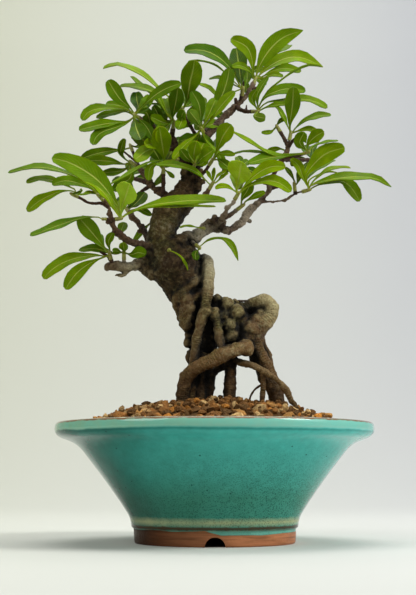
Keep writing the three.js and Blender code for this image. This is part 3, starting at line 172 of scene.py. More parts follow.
# Roots, written in the same way. They run over the soil and end in it.
ROOTS = [
  ["loop", 5, [[196, 268, -4, 4.4], [202, 261, 0, 4.4], [206.5, 261, 5, 4.4], [208, 272, 9, 4.5],
    [207.5, 290, 11, 4.2], [206, 309, 11, 3.6]]],
  ["wrap_high", 5, [[203, 276.5, 7, 3.2], [190, 286, 11, 3.3], [177.5, 296, 9, 3.3], [178, 306, 5, 3.3],
    [184, 318, 1, 3.2], [193, 329, -4, 3.2]]],
  ["wrap_low", 5, [[203, 291, 9, 3], [190.5, 302, 10, 3], [186, 312, 8, 3], [187.5, 322, 4, 3],
    [193, 333, 0, 3]]],
  ["side_high", 5, [[193, 330, -1, 2.6], [188.5, 338, 0, 3], [194, 348, 0, 2.2]]],
  ["side_low", 5, [[195, 350, 0, 2.2], [189.5, 358.5, 0, 2.7], [193, 368, 0, 2.3]]],
  ["long_front", 5, [[207, 304, 11, 3.3], [201, 322, 11, 3.4], [197, 340, 10, 3.3], [194, 360, 9, 3.2],
    [192, 380, 9, 3.1], [190, 402, 9, 3.1], [189, 424, 9, 2.9]]],
  ["short_front", 5, [[214, 308, 11, 2.7], [218, 325, 11, 2.8], [220, 340, 11, 2.8], [223, 354, 14, 2.8]]],
  ["burl", 7, [[203, 304, -1, 6.5], [213, 310, 0, 8.2], [226, 318, 2, 9.8], [240, 323, 2, 8.7],
    [249, 332, 0, 6]]],
  ["moss_b", 5, [[236, 319, 9, 3], [236, 313, 10, 4.4], [237, 307, 8, 2.6]]],
  ["moss_d", 5, [[232, 343, 6, 2.8], [232, 336, 8, 4.6], [233, 329, 8, 2.8]]],
  ["moss_e", 5, [[216, 308, 5, 2.6], [217.5, 302.5, 6, 3.4], [218.5, 298.5, 5, 2]]],
  ["right_loop", 6, [[242, 311, 3, 3.6], [247, 306, 4, 3.4], [256, 302.5, 4, 4.6], [266, 302.5, 3, 5.5],
    [270, 309, 3, 5.4], [268, 316.5, 3, 6.2], [261.5, 323.5, 4, 6.8], [256, 333, 4, 6.2], [255, 343, 4, 5.4],
    [258.5, 355, 3, 6], [264, 368, 1, 6.3], [269.5, 380, 0, 6], [275, 392, 0, 5.8], [278, 424, 0, 4.8]]],
  ["diagonal", 7, [[247, 343, 5, 3.8], [245, 347.5, 13, 4.5], [237, 349.5, 16, 4.9], [225, 354, 17, 4.8],
    [210, 361.5, 17, 4.7], [197, 368, 16, 4.5], [187, 377.5, 14, 4.2], [182.5, 390, 12, 4],
    [182, 405, 11, 3.9], [182, 427, 11, 3.6]]],
  ["down_right", 5, [[229, 345, 9, 3.2], [230.5, 358, 8, 3.7], [230, 372, 7, 4], [230, 386, 7, 4.2],
    [229.5, 402, 7, 4], [229.5, 424, 7, 3.6]]],
  ["down_mid", 5, [[205, 352, 6, 4], [201, 366, 6, 3.9], [200, 380, 6, 4], [200, 402, 6, 4],
    [200, 424, 6, 3.7]]],
  ["down_inner", 5, [[227, 363.5, 2, 4.6], [215, 366.5, 3, 5.3], [209.5, 379, 4, 3.9], [208, 402, 3, 3.6],
    [208, 424, 3, 3.3]]],
  ["down_left", 5, [[191, 366, 6, 3.2], [190, 385, 4, 3.6], [191, 405, 4, 3.8], [191, 426, 4, 3.4]]],
  ["thin", 5, [[232, 356, 11, 2.8], [238, 361.5, 11, 2.4], [248, 364, 12, 2.1], [258, 368, 13, 1.9],
    [268, 374, 13, 1.9], [278, 381, 12, 1.9], [286, 390, 11, 1.9], [291, 400, 10, 1.9], [297, 409, 9, 1.9],
    [304, 424, 8, 1.7]]],
  ["thin_branch", 5, [[260.5, 369, 13, 1.8], [263, 377, 12, 1.8], [263, 388, 11, 1.8], [262, 402, 10, 1.8],
    [261, 421, 10, 1.6]]],
  ["rootlet", 4, [[263, 384, 11, 0.9], [258, 387, 9, 0.75], [254, 390.5, 8, 0.7], [250, 398, 8, 0.7],
    [249, 410, 8, 0.6]]],
  ["bridge", 4, [[228, 304, 4, 1.4], [232, 301.5, 4, 0.9], [239, 301, 4, 0.8], [248, 301, 4, 0.8]]],
  ["back_left", 5, [[200, 326, -5, 4.4], [197, 345, -11, 3.7], [196, 362, -14, 3.5], [193, 384, -17, 3.5],
    [192, 402, -18, 3.5], [192, 424, -18, 3.1]]],
  ["back_mid", 5, [[225, 328, -3, 4], [228, 346, -10, 3.4], [230, 365, -13, 3.2], [231, 402, -17, 3.2],
    [231, 423, -17, 2.9]]],
  ["back_right", 5, [[256, 332, 0, 4.6], [262, 348, -7, 3.6], [268, 362, -10, 3.4], [276, 402, -16, 3.4],
    [278, 423, -16, 3]]],
]

# Sprays as name and blades. A blade is how far its tip reaches towards the viewer in mm, its width in
# the picture, its way through the picture, and "under" where its underside shows.
SPRAYS = [
  ["left_tip", [
    [-4, 9.5, [[97, 190], [92, 185], [83, 179.5], [70, 174], [55, 169], [40, 167], [22, 169], [8, 172]]],
    [4, 10, [[96, 192], [87, 186], [75, 182], [64, 180.5], [52, 184]]],
    [6, 2.5, [[104, 196], [106, 190.5]]]]],
  ["left_twig", [
    [4, 9, [[74, 191], [65, 190.5], [55, 193], [45, 197.5], [36, 203], [27, 211]]],
    [-3, 7, [[76, 190], [66, 185], [52, 180], [38, 178.5], [26, 182]]],
    [-8, 3.5, [[84, 194], [90, 192], [97, 193.5]]],
    [8, 3, [[80, 192], [81, 189]]]]],
  ["left_front", [
    [8, 21, [[119, 209], [113, 199], [105, 187.5], [95, 177.5], [80, 167.5], [66, 161], [52, 158]]],
    [26, 22, [[122, 206], [126, 195], [129.5, 184]]],
    [10, 12.5, [[127, 213], [138, 208.5], [152, 204.5], [172, 202], [195, 200], [226, 200.5]]],
    [4, 6, [[127, 214], [140, 209], [158, 206.5], [185, 206], [215.5, 206]]],
    [-12, 10, [[113, 207], [107, 196], [97, 186], [84, 179]]]]],
  ["left_low", [
    [4, 11, [[105, 256], [97, 255], [85, 256], [72, 259], [60, 264], [50, 271], [43.5, 278.5]]],
    [8, 14, [[105, 256.5], [95, 260.5], [84, 267], [74, 276], [65.5, 289]]],
    [2, 18, [[105, 248], [97, 238.5], [89, 229], [79, 217.5]]],
    [0, 8, [[109.5, 249], [108.5, 241], [113, 232.5]]]]],
  ["left_shoot", [
    [4, 9, [[124, 250], [123, 243]]],
    [2, 6, [[119, 251.5], [113, 250]]],
    [8, 12, [[131, 254.5], [138, 252.5], [145.5, 254]]],
    [-6, 7.5, [[116, 253.7], [108, 251.5], [95, 248.5], [79, 249]]]]],
  ["left_single", [
    [2, 9, [[100, 217], [90, 216.7], [80, 218], [70, 221], [60, 224.5], [50, 228], [40, 232], [30, 235]]]]],
  ["left_under", [
    [-8, 10, [[121, 231], [124.5, 222]]]]],
  ["trunk_left", [
    [-10, 6, [[147, 226], [133, 241]]]]],
  ["rear_left", [
    [2, 7, [[140, 209.5], [151.5, 215]]],
    [-4, 14, [[137, 202], [145, 192]]],
    [-24, 12, [[124, 204], [120, 196]]],
    [-20, 12, [[134, 204], [138, 198]]],
    [-10, 10, [[118, 206], [108, 200]]]]],
  ["upper_left_tip", [
    [2, 7, [[127, 160], [121, 153.5], [122, 145], [124.5, 138.5]]],
    [-4, 10, [[125, 164], [112, 161.5], [100, 160.5], [88, 160.5]]],
    [-8, 8, [[126, 168.5], [116, 171.5], [102.5, 172.5]]],
    [4, 13, [[131, 176], [124, 182.5], [113, 190]]]]],
  ["upper_left_far", [
    [2, 10.5, [[122, 149.5], [108, 151], [94, 154], [81, 158.5]]],
    [-4, 3, [[137, 146.5], [142, 143]]]]],
  ["mid_left", [
    [6, 14, [[159, 159], [154, 150], [149, 141]]],
    [4, 9.5, [[157, 164], [150, 168], [148.5, 180]]],
    [3, 4.5, [[168, 172], [174, 177.5]]],
    [-4, 6.5, [[160, 179], [154.5, 185]]],
    [10, 20, [[164, 157], [162, 143], [159.5, 127]]]]],
  ["mid_bright", [
    [6, 15, [[160, 146.5], [148, 150], [135, 160.5]]]]],
  ["long_left", [
    [4, 5.5, [[165, 160], [150, 161.5], [138, 168], [124, 176], [111, 183.5]]]]],
  ["upper_left", [
    [2, 8.5, [[127, 109.5], [112, 107.5], [98, 108.5], [88, 112], [82, 120]]],
    [-4, 6.5, [[125, 111], [112, 113], [96, 117]]],
    [6, 9.5, [[127, 121], [113, 122.5], [98, 125], [79, 129.5]]],
    [8, 9.5, [[127, 122.5], [116, 127], [103, 131.5], [96, 137], [93, 144.5]]],
    [4, 15, [[130, 107.5], [121, 100], [114, 90], [108, 80]]],
    [-6, 14, [[138, 108], [137, 100], [136, 92]]],
    [-10, 7, [[126, 107.5], [116, 104.5], [106, 103]]],
    [6, 12, [[147, 102], [157, 93.5], [168, 87.5], [181, 83]]],
    [10, 17, [[136, 127], [141, 139.5]]],
    [4, 10, [[146, 126], [153, 139]]],
    [-8, 8, [[143, 110], [147.5, 103]]]]],
  ["top_left", [
    [2, 16, [[173, 115], [176, 101], [178, 88]]],
    [4, 11, [[163, 122], [151, 116.5]]],
    [-4, 8.5, [[166, 112], [160, 99], [154, 92], [140, 87], [128, 85.5], [119.5, 86]]],
    [-10, 7.5, [[164, 108], [150, 92], [140, 84], [131, 76]]],
    [4, 10.5, [[161, 119], [157, 112], [153.5, 105.5]]],
    [-6, 3, [[164, 112], [160, 105], [148, 103]]]]],
  ["top_mid", [
    [-2, 9.5, [[176, 103], [166, 94], [157, 86], [142, 74.5], [130, 67.5], [118, 64.5], [103, 68]]],
    [6, 22, [[187, 99], [190, 82], [193, 70], [194.5, 60.5]]],
    [3, 11, [[182, 120], [178, 129]]]]],
  ["top_right_base", [
    [6, 10, [[211, 119], [222, 104.5], [234.5, 91]]],
    [8, 8.5, [[193, 137.5], [183, 146.5], [173, 159]]],
    [2, 14, [[201, 118], [199, 104], [192, 91]]],
    [4, 12, [[197, 121], [188.5, 110.5]], "under"],
    [-4, 13, [[209, 114], [215, 101], [222, 90.5]]],
    [-6, 15, [[214, 110], [222, 95], [227, 81], [229.5, 68]]],
    [-2, 13, [[194, 137], [179, 141]]],
    [6, 6, [[207, 141], [215, 149], [221, 158], [226, 168]]]]],
  ["top", [
    [2, 13.5, [[237, 79], [230, 67.5], [218, 56.5], [203, 50], [184, 50]]],
    [-4, 19, [[240, 74], [236.5, 48]]],
    [-8, 11, [[247, 80], [247, 66]]],
    [4, 3.8, [[233, 80], [222, 69.5], [212, 63.5], [200, 60.5], [188, 61]]],
    [-4, 4.5, [[231, 83], [220, 77.5], [209, 78.5]]],
    [6, 5, [[229, 93], [217, 94], [208, 87], [198, 83]]]]],
  ["top_crown", [
    [4, 16, [[253, 70], [251.5, 57], [246, 46], [231, 38.5]]],
    [8, 7, [[250, 71], [241, 65.5], [232, 66.5]]],
    [2, 19.5, [[259, 67], [269, 50.5], [283, 37.5], [303, 30]]],
    [-4, 12, [[264, 70], [277, 61.5], [290, 57], [304, 58], [323, 66.5]]],
    [4, 7.5, [[263, 76], [272, 71], [285, 68], [301, 71]]],
    [6, 4.5, [[265, 77.5], [273, 74], [283, 76]]]]],
  ["upper_right", [
    [-6, 4.5, [[265, 94], [276, 84], [287, 75.5], [298, 69.5], [310, 64.5], [323, 66.5]]],
    [2, 11, [[264, 97.5], [274, 92], [287, 88.5], [305.5, 90.5]]],
    [-3, 9, [[266, 102.5], [280, 100.5], [300, 99], [315, 101], [327.5, 107.5]]],
    [6, 4.5, [[266, 107], [276, 104.5], [287, 103.5]]],
    [8, 9.5, [[255, 116], [265.5, 118.5]], "under"],
    [-2, 6.5, [[257, 96], [261, 87], [267.5, 77]]],
    [4, 8, [[252, 99], [256, 90]]]]],
  ["right_top", [
    [14, 16, [[290, 123], [292.5, 105], [293.5, 87]]],
    [4, 6.5, [[297, 126], [307, 119], [318, 115.5], [331, 114.5]]],
    [0, 5, [[297, 131], [307, 128.5], [318, 130.5]]],
    [-8, 5.5, [[286, 122], [281, 112], [274.5, 104]]]]],
  ["right_stub", [
    [-4, 4.5, [[276.5, 126], [280, 121], [286.5, 117]]],
    [4, 4.5, [[271, 131.5], [262, 132.5]]]]],
  ["right_mid", [
    [8, 8.5, [[290, 155], [276, 156.5], [262, 159], [248, 163]]],
    [4, 6.5, [[282, 155], [266, 151.5], [250, 141.5], [231, 130.5]]],
    [0, 4.5, [[280, 154], [262, 152.5], [246, 150.8], [232, 154]]],
    [6, 13, [[308, 144.5], [314, 137.5], [323.5, 131.5]]],
    [2, 13, [[300, 143], [304, 132.5]]],
    [-4, 3.2, [[311, 147.5], [322, 142.5], [338, 140]]]]],
  ["right_behind", [
    [-4, 6, [[279, 148.5], [267, 151]]]]],
  ["right_tip", [
    [6, 10.5, [[312, 184.5], [326, 180], [345, 177], [362, 176.5], [377, 178.5], [391.5, 186.5]]],
    [-4, 9, [[320, 184], [340, 180.5], [351, 187], [360, 201]]],
    [-6, 5.5, [[313, 181], [322, 173.5], [332, 168], [342, 167], [350.5, 167.5]]],
    [-12, 4, [[309, 180], [320, 174], [332, 171.5], [346, 175]]],
    [4, 19, [[306, 176], [314, 164], [327, 153], [344.5, 147.5]]],
    [2, 9, [[303, 177], [299, 166], [291, 158.5]]]]],
  ["right_inner", [
    [2, 6.5, [[298, 181], [300.5, 169]]],
    [0, 4.5, [[295, 182], [291, 174], [285.5, 167]]]]],
  ["front_right", [
    [14, 25, [[237, 187], [239.5, 173], [241.5, 162]]],
    [6, 13, [[246, 184], [258, 173], [271, 166.5], [285.5, 166]]],
    [4, 9.5, [[248, 186], [260, 181.5], [272, 180.5], [282, 184], [291, 191.5]]],
    [-2, 5, [[229, 187], [222, 185.5], [215, 188]]]]],
  ["front_right_low", [
    [6, 11, [[242, 199], [247, 191], [251.5, 182]]],
    [-4, 6.5, [[246, 201], [255, 196], [265, 191.5]]]]],
  ["centre", [
    [8, 7.5, [[204, 178], [196, 171.5], [185, 167], [172, 164], [156, 164.5]]],
    [0, 3.5, [[213, 177], [214, 167.5]]],
    [4, 2.8, [[218, 175], [226, 170.5]]],
    [2, 3.2, [[216, 182], [222, 176.5], [228, 172.5]]],
    [-4, 3.5, [[211, 178], [207, 170.5]]]]],
  ["centre_right", [
    [4, 17.5, [[217, 150], [223, 136], [231, 124.5]]],
    [2, 6, [[219, 154], [226, 153], [234.5, 154.5]]],
    [4, 11, [[219, 160], [230, 168.5]]]]],
  ["centre_left", [
    [4, 14, [[202, 158], [213, 150]]],
    [0, 13, [[194, 153], [196.5, 141.5]]],
    [2, 8, [[201, 164], [208, 158]]],
    [4, 9, [[187, 158], [180.5, 149.5]]]]],
  ["low_right", [
    [4, 6.5, [[207, 240.5], [218, 238], [227, 240.5], [234, 248.5], [238, 260.5]]],
    [6, 8, [[195.5, 253], [196, 259.5]]]]],
  ["thin_right", [
    [-4, 2.4, [[195, 226.5], [187, 225.5], [179.5, 227]]]]],
  ["trunk_front", [
    [2, 2.6, [[176, 252.5], [182, 257.5], [186, 264], [187.5, 270]]]]],
]

BACK_SPRAYS = ["back_top", "back_left", "back_crown", "back_low", "back_high", "back_right", "back_mid"]

# How the frame's solids grow their blades. Lengths are in mm, those named pixels are in the picture.
SHOOT_START = 0.3
SHOOT_LENGTH = 5.4
SHOOT_SINGLE = 2.8
BLADE_RATIO = 0.24
PLUMPEST_RATIO = 0.36
PLAIN_THICK = 0.65
LONG_RINGS = (0.48, 0.93)
SHORT_RINGS = (0.58, 0.9)
NARROW_RINGS = (0.3, 0.75)
LONG_BLADE = 34
NARROW_PIXELS = 6
TWIN_PIXELS = 17
TWIN_SCALE = (0.55, 0.8)
TWIN_REACH = (-42, -30)
BACK_BLADES = 5
BACK_SPREAD = (15, 23)
BACK_REACH = (-26, -12)
BACK_WIDTH = (7, 10)
TRIMS = (1, 0.86, 0.72)
BOWS = (0, 4, -4, 8, -8)
LEANS = (0, 4, -4, 8, -8, 13, -13, 19, -19, 26, -26)

# How bright a spray's leaves are, from 0 to the brightest: painted light and shade as well as the leaves'
# age.
BRIGHTEST = 1.5
TONES = {
    "left_tip": 0.55, "left_twig": 0.65, "left_front": 0.85, "left_low": 0.6, "left_shoot": 0.5,
    "left_single": 0.7, "left_under": 0.45, "trunk_left": 0.5, "rear_left": 0.25, "upper_left_tip": 0.45,
    "upper_left_far": 0.45, "mid_left": 0.6, "mid_bright": 0.95, "long_left": 0.6, "upper_left": 0.52,
    "top_left": 0.55, "top_mid": 0.68, "top_right_base": 0.6, "top": 0.5, "top_crown": 0.6,
    "upper_right": 0.55, "right_top": 0.65, "right_stub": 0.5, "right_mid": 0.6, "right_behind": 0.5,
    "right_tip": 0.7, "right_inner": 0.4, "front_right": 0.9, "front_right_low": 0.6, "centre": 0.85,
    "centre_right": 0.6, "centre_left": 0.6, "low_right": 0.8, "thin_right": 0.8, "trunk_front": 0.9,
}
# Sprays at the back of the crown get this tone: painted shade inside the crown.
BACK_TONE = 0.3

# Blades that the solids leave out, written as in the sprays. They fill the middle of the crown. A number
# at the end is the leaf's shade, and such a leaf shows its underside.
MORE_BLADES = {
    "upper_left": [
        [-6, 20, [[138, 126], [145, 138]]],
        [-9, 17, [[136, 129], [147, 145]], 0.2],
        [-7, 13, [[146, 112], [151, 126]]],
        [-9, 12, [[145, 104], [150, 95]]]],
    "top_left": [
        [-4, 18, [[171, 114], [169, 98]], 0.3],
        [-8, 16, [[166, 122], [156, 111]], 0.2],
        [-2, 14, [[179, 125], [187, 118]], 0.5],
        [2, 12, [[178, 122], [184, 111]]],
        [-6, 13, [[163, 125], [154, 117]]],
        [-9, 15, [[168, 113], [161, 99]]],
        [3, 11, [[166, 127], [157, 130]]]],
    "mid_bright": [
        [16, 14, [[160, 147], [148, 150], [135, 160]], 1.0],
        [4, 13, [[158, 143.5], [145, 145]]],
        [5, 14, [[163, 140], [157, 131]]]],
    "mid_left": [
        [-3, 16, [[167, 160], [175, 147]], 0.7],
        [-4, 14, [[160, 165], [154, 156]]],
        [-6, 12, [[168, 166], [174, 156]]]],
    "top_right_base": [
        [-4, 11, [[210, 125], [219, 121.5]]],
        [-6, 12, [[193, 121], [184, 124]]],
        [-9, 14, [[200, 121], [205, 107]]],
        [-3, 13, [[197, 140], [191, 150]]],
        [-5, 13, [[206, 141], [211, 151]]]],
    "centre_left": [
        [-8, 15, [[188, 153], [182, 139]], 0.45],
        [-6, 14, [[199, 152], [206, 140]]],
        [-5, 13, [[189, 159], [183, 150]]]],
    "top_mid": [
        [-4, 13, [[190, 104], [199, 95]]],
        [-6, 14, [[186, 103], [187, 91]]],
        [-3, 12, [[178, 109], [173, 98]]],
        [-8, 13, [[180, 98], [170, 86]]]],
    "top_crown": [
        [-6, 11, [[245, 76], [236, 68]]]],
    "rear_left": [
        [-8, 12, [[130, 203], [131, 192]]]],
}

# Leaves whose width in the picture is told here, by spray and number.
TOLD_WIDTHS = {
    ("top_right_base", 7): 9, ("top_right_base", 1): 10, ("trunk_front", 0): 3.2, ("low_right", 0): 8.5,
}

# Single leaves lighter or darker than the rest of their spray: painted light and shade.
SHADES = {
    ("upper_left", 5): 0.1, ("upper_left", 8): 0.15, ("upper_left", 9): 0.2, ("upper_left", 10): 0.15,
    ("mid_left", 4): 0.8, ("top_left", 0): 0.35, ("top_left", 4): 0.1, ("top_right_base", 1): 0.85,
    ("top_right_base", 0): 0.8, ("top_right_base", 7): 0.7, ("top_right_base", 2): 0.45,
    ("left_front", 1): 1.45, ("low_right", 1): 0.1, ("left_low", 2): 0.78, ("top", 0): 0.2,
    ("top", 1): 0.12, ("top_left", 5): 0.4, ("left_tip", 0): 0.38, ("front_right", 0): 1.15,
    ("mid_left", 0): 0.3, ("left_front", 0): 0.75, ("left_front", 2): 0.62, ("top_mid", 1): 0.55,
    ("top_right_base", 5): 0.4,
}

# Thin twigs keep their own fine tubes, the rest of the wood is grown together.
TWIG_RADIUS = 2.15

# Spots of bark as place in the picture, depth, reach in mm, then moss, grey lichen, darkness and roughness.
# The darkness is painted shade, as well as dark bark near the soil.
BARK_SPOTS = [
    (168, 211, 3, 9, 0.35, 0.05, 0.85, 0.4), (160, 228, 3, 9, 0.90, 0.15, 0.32, 0.2),
    (172, 228, 6, 5, 0.60, 0.40, 0.10, 0.2), (158, 244, 6, 8, 0.95, 0.15, 0.28, 0.3),
    (170, 247, 9, 6, 0.70, 0.00, 0.95, 0.4), (180, 199, 0, 8, 0.35, 0.10, 0.45, 0.5),
    (190, 183, 0, 9, 0.15, 0.05, 0.90, 1.0), (191, 168, -4, 9, 0.10, 0.05, 0.95, 1.0),
    (181, 242, 8, 7, 0.20, 0.00, 1.00, 1.0), (177, 256, 12, 8, 0.55, 0.05, 0.80, 0.6),
    (157, 263, 6, 7, 0.50, 0.45, 0.40, 0.5), (190, 259, 10, 7, 0.35, 0.05, 1.00, 0.6),
    (167, 270, 10, 8, 0.50, 0.25, 0.85, 0.6), (182, 273, 12, 9, 0.20, 0.05, 1.00, 0.5),
    (172, 288, 8, 9, 0.35, 0.05, 1.00, 0.5), (146, 262, 4, 6, 0.10, 0.05, 1.00, 0.8),
    (128, 263, 8, 7, 0.30, 1.00, 0.05, 0.4), (112, 266, 10, 8, 0.20, 0.25, 0.80, 0.6),
    (200, 315, 0, 12, 0.40, 0.10, 0.85, 0.4), (205, 259, 4, 7, 0.20, 1.00, 0.00, 0.2),
    (209, 274, 10, 8, 0.10, 0.95, 0.00, 0.2), (207, 291, 11, 7, 0.20, 0.35, 0.30, 0.3),
    (206, 304, 12, 6, 0.45, 0.20, 0.45, 0.3), (190, 286, 14, 7, 0.45, 0.10, 0.85, 0.2),
    (180, 303, 13, 7, 0.40, 0.25, 0.35, 0.2), (186, 318, 12, 8, 0.40, 0.25, 0.30, 0.2),
    (203, 318, 14, 8, 0.65, 0.25, 0.10, 0.2), (198, 338, 13, 8, 0.25, 0.20, 0.40, 0.2),
    (216, 318, 14, 7, 0.75, 0.25, 0.05, 0.2), (221, 338, 14, 8, 0.45, 0.10, 0.48, 0.2),
    (226, 306, 8, 7, 0.80, 0.25, 0.15, 0.5), (238, 312, 9, 7, 0.85, 0.25, 0.10, 0.5),
    (230, 325, 10, 7, 0.45, 0.50, 0.00, 0.5), (233, 337, 9, 7, 0.50, 0.35, 0.35, 0.5),
    (244, 322, 4, 7, 0.45, 0.05, 0.90, 0.4), (251, 303, 6, 7, 0.80, 0.10, 0.60, 0.2),
    (264, 299, 4, 7, 0.20, 0.75, 0.05, 0.2), (273, 307, 3, 7, 0.10, 0.80, 0.05, 0.2),
    (270, 320, 5, 6, 0.15, 0.55, 0.00, 0.3), (253, 327, 11, 9, 0.25, 0.25, 0.22, 0.2),
    (262, 350, 6, 10, 0.10, 0.05, 0.40, 0.3), (268, 375, 4, 14, 0.05, 0.10, 0.30, 0.4),
    (275, 405, 0, 18, 0.05, 0.00, 0.85, 0.4), (246, 346, 18, 6, 0.10, 0.15, 0.10, 0.2),
    (232, 352, 21, 7, 0.15, 0.35, 0.00, 0.2), (215, 359, 21, 8, 0.15, 0.05, 0.15, 0.3),
    (196, 368, 20, 8, 0.15, 0.05, 0.20, 0.3), (184, 381, 17, 8, 0.15, 0.05, 0.50, 0.3),
    (180, 404, 14, 10, 0.20, 0.00, 0.90, 0.3), (200, 395, 6, 14, 0.25, 0.00, 0.80, 0.4),
    (231, 372, 9, 9, 0.05, 0.10, 0.15, 0.4), (231, 402, 7, 12, 0.10, 0.00, 0.85, 0.4),
    (256, 368, 14, 8, 0.20, 0.25, 0.10, 0.2), (280, 384, 12, 9, 0.20, 0.25, 0.10, 0.2),
    (262, 395, 12, 9, 0.20, 0.10, 0.40, 0.2), (196, 238, 6, 7, 0.05, 1.00, 0.00, 0.4),
    (206, 233, 8, 6, 0.00, 1.00, 0.00, 0.5), (214, 229, 8, 5, 0.05, 0.65, 0.30, 0.6),
    (212, 221, 9, 5, 0.10, 0.00, 1.00, 0.9), (226, 226, 6, 7, 0.00, 0.30, 0.60, 0.7),
    (247, 213, 2, 10, 0.00, 0.55, 0.35, 0.5), (266, 192, 3, 12, 0.00, 0.30, 0.55, 0.5),
    (286, 152, 8, 16, 0.00, 0.10, 0.75, 0.6), (118, 232, 16, 14, 0.00, 0.05, 0.82, 0.7),
    (150, 186, -8, 14, 0.00, 0.05, 0.80, 0.7), (170, 145, -8, 16, 0.00, 0.10, 0.70, 0.6),
    (200, 160, -4, 12, 0.00, 0.05, 0.85, 0.8), (216, 126, -5, 10, 0.00, 0.25, 0.65, 0.6),
    (240, 104, -10, 12, 0.00, 0.20, 0.65, 0.6), (295, 195, 6, 14, 0.00, 0.20, 0.60, 0.5),
]

# Lumps grown on the wood, as place in the picture, depth and radius in mm.
LUMPS = [
    (226, 305.5, 7, 4.6), (237.5, 311.5, 8, 4.2), (230, 325, 10, 4.4), (232, 335, 9, 4),
    (217, 300, 6, 3.2), (242, 322.5, 5, 4.2), (222, 316, 6, 3.6), (214, 315.5, 11, 3.2),
    (206.5, 311, 12, 3.4), (244.5, 348, 13.5, 4.9), (257, 311, -5, 4.2), (250, 311, -1, 4),
    (245, 333, 3, 4.6), (240, 341, 6, 4), (241, 306.5, 2, 3.4), (247, 307, 2, 3), (235, 304.5, 3, 2.6),
    (181, 242, 5, 5.6), (187, 237, 4, 4), (147, 262, 2, 4.8), (146, 268, 2, 4.4), (152, 273, 3, 4.6),
    (152, 251, 4, 4.2), (155, 243, 3, 3), (197, 187, -2, 3.4), (184, 190, 0, 3.4), (198, 172, -3, 2.8),
    (186, 174, -3, 3), (194, 163, -4, 2.8), (203, 181, 1, 1.8), (178, 206, 2, 3.2), (262, 317, 3.5, 5.4),
    (256, 323, 5, 5.9), (250.5, 329.5, 6, 6.1), (246, 336, 6, 5.6), (230, 315, 5, 5.8),
    (234, 321, 5, 5.8), (232, 331, 5, 5.8), (236, 339, 4, 5.2), (187, 299, 8, 5.2), (187.5, 308, 8, 5.2),
    (187.5, 316, 7, 5), (187.5, 323, 5, 4.6), (226, 230, 5, 2.4), (222, 222, 7, 2.2), (206, 229, 5, 3.6),
    (209, 222, 6, 2.7), (215, 219.5, 7, 2.3), (204, 226, 5, 2.6), (244, 219, 2, 2.3), (269, 186, 3, 2),
    (188.7, 335.5, 1, 3.3), (188.5, 342.5, 1, 3.3), (191, 359, 1, 3.6), (189, 330, -2, 3),
    (108, 222, 18, 1.7), (114, 233, 15, 2), (107.5, 266.5, 10, 2.1), (124, 268, 6, 2.9),
    (140, 231, -13, 1.9), (158, 190, -6, 2.3), (168, 197, -3, 2.6), (257, 203.5, 2, 2.2),
    (288, 146, 8, 1.7), (236, 106, -11, 2), (220, 122, -6, 2.2), (203, 150, -5, 2.9),
]

# Granule colours as red, green and blue, and how many in a hundred have them.
GRANULES = [
    ((0.290, 0.118, 0.028), 24), ((0.140, 0.056, 0.016), 18), ((0.450, 0.225, 0.062), 17),
    ((0.062, 0.027, 0.010), 14), ((0.660, 0.450, 0.190), 12), ((0.500, 0.190, 0.028), 8),
    ((0.030, 0.015, 0.008), 7),
]

# Granules on the left are mixed with this pale one, as far as the share says: painted light on the left of
# the mound.
LIT_GRANULE = (0.62, 0.42, 0.18)
LIT_SHARE = 0.6
LIT_LEFT_OF = -30

# The pot's profile as distance from its axis and height, in mm: up its outside, in over the rim and down
# to the drain hole, then along its underside to the foot ring.
POT_OUTSIDE = [
    (46.6, 0), (47.3, 0.7), (47.7, 4.5), (47.9, 8.4), (49.1, 9.4), (49.5, 12), (50.8, 16), (53.6, 20.4),
    (57.1, 25.6), (62.4, 33), (68.3, 41), (74.4, 48.8), (79.2, 54.8), (83, 57.8), (87, 59.7), (90.6, 61),
    (93.2, 62.6), (94.5, 64.8), (94.6, 67), (94.2, 68.8), (93.3, 69.8),
]
POT_INSIDE = [
    (92.2, 70), (91, 69.8), (89.9, 69.1), (87.2, 66.6), (83.5, 63.5), (76.4, 56.4), (69, 48.8), (62.6, 40),
    (56.5, 31), (51, 23), (45.8, 15.4), (44.6, 14.2), (43, 14), (24, 14), (8.6, 14),
]
POT_UNDERSIDE = [(8, 13.4), (8, 6.6), (8.6, 6), (39, 6), (39.8, 5.4), (41, 0.7), (41.6, 0)]

# The notches of the foot ring: how many, and their size and distance from the axis in mm. Then how fine
# the wandering of the pot's wall is.
FOOT_NOTCHES = 3
NOTCH_RADIUS = 5.75
NOTCH_SINK = 0.25
NOTCH_LENGTH = 20
NOTCH_DISTANCE = 44
WALL_FINENESS = 14

# Heights on the pot in mm: its inside is bare clay between the first two, and its floor is under the third.
CLAY_FROM = 0.2
CLAY_TO = 66.8
FLOOR_UNDER = 20

# Heights on the pot in mm where its glaze changes.
WALL = (10, 66)
GROOVE = 10.1
BAND = 13.3
UNDER_RIM_LINE = 64.2
RIM = (64.6, 65.6)
LIP = (68.9, 69.2)
CREAM = (70.0, 70.2)

# Colours that no setting changes, in even steps of light.
SCREEN_BLACK = (0.018, 0.02, 0.022, 1)
SCREEN_DUST = (0.16, 0.09, 0.05, 1)
# The bed is dark brown soil with painted shade, for the gaps between the granules.
BED_BROWN_AND_SHADE = (0.035, 0.016, 0.008, 1)
SOIL_DARK = (0.09, 0.04, 0.016, 1)
SOIL_DUST = (0.62, 0.36, 0.12, 1)
# Painted shade in the granules' pits.
PIT_SHADE = (0.05, 0.022, 0.012, 1)

# The mound of soil in mm: its height where it would end, its rise towards the middle, where it would end,
# and its edge at the wall.
MOUND_HEIGHT = 64
MOUND_RISE = 20
MOUND_REACH = 88
MOUND_EDGE = 84

# The bed under the granules in mm: its reach, how far it lies under the mound, and its side down the pot.
BED_REACH = 86.2
BED_SINK = 2.2
BED_STEPS = 22
BED_SIDE = [(45, 15.4), (56.1, 31), (68.6, 48.7), (83.1, 63.4)]
BED_BOTTOM = (0.02, 15.6)
ROUGH_ABOVE = 60
BED_FINENESS = 330

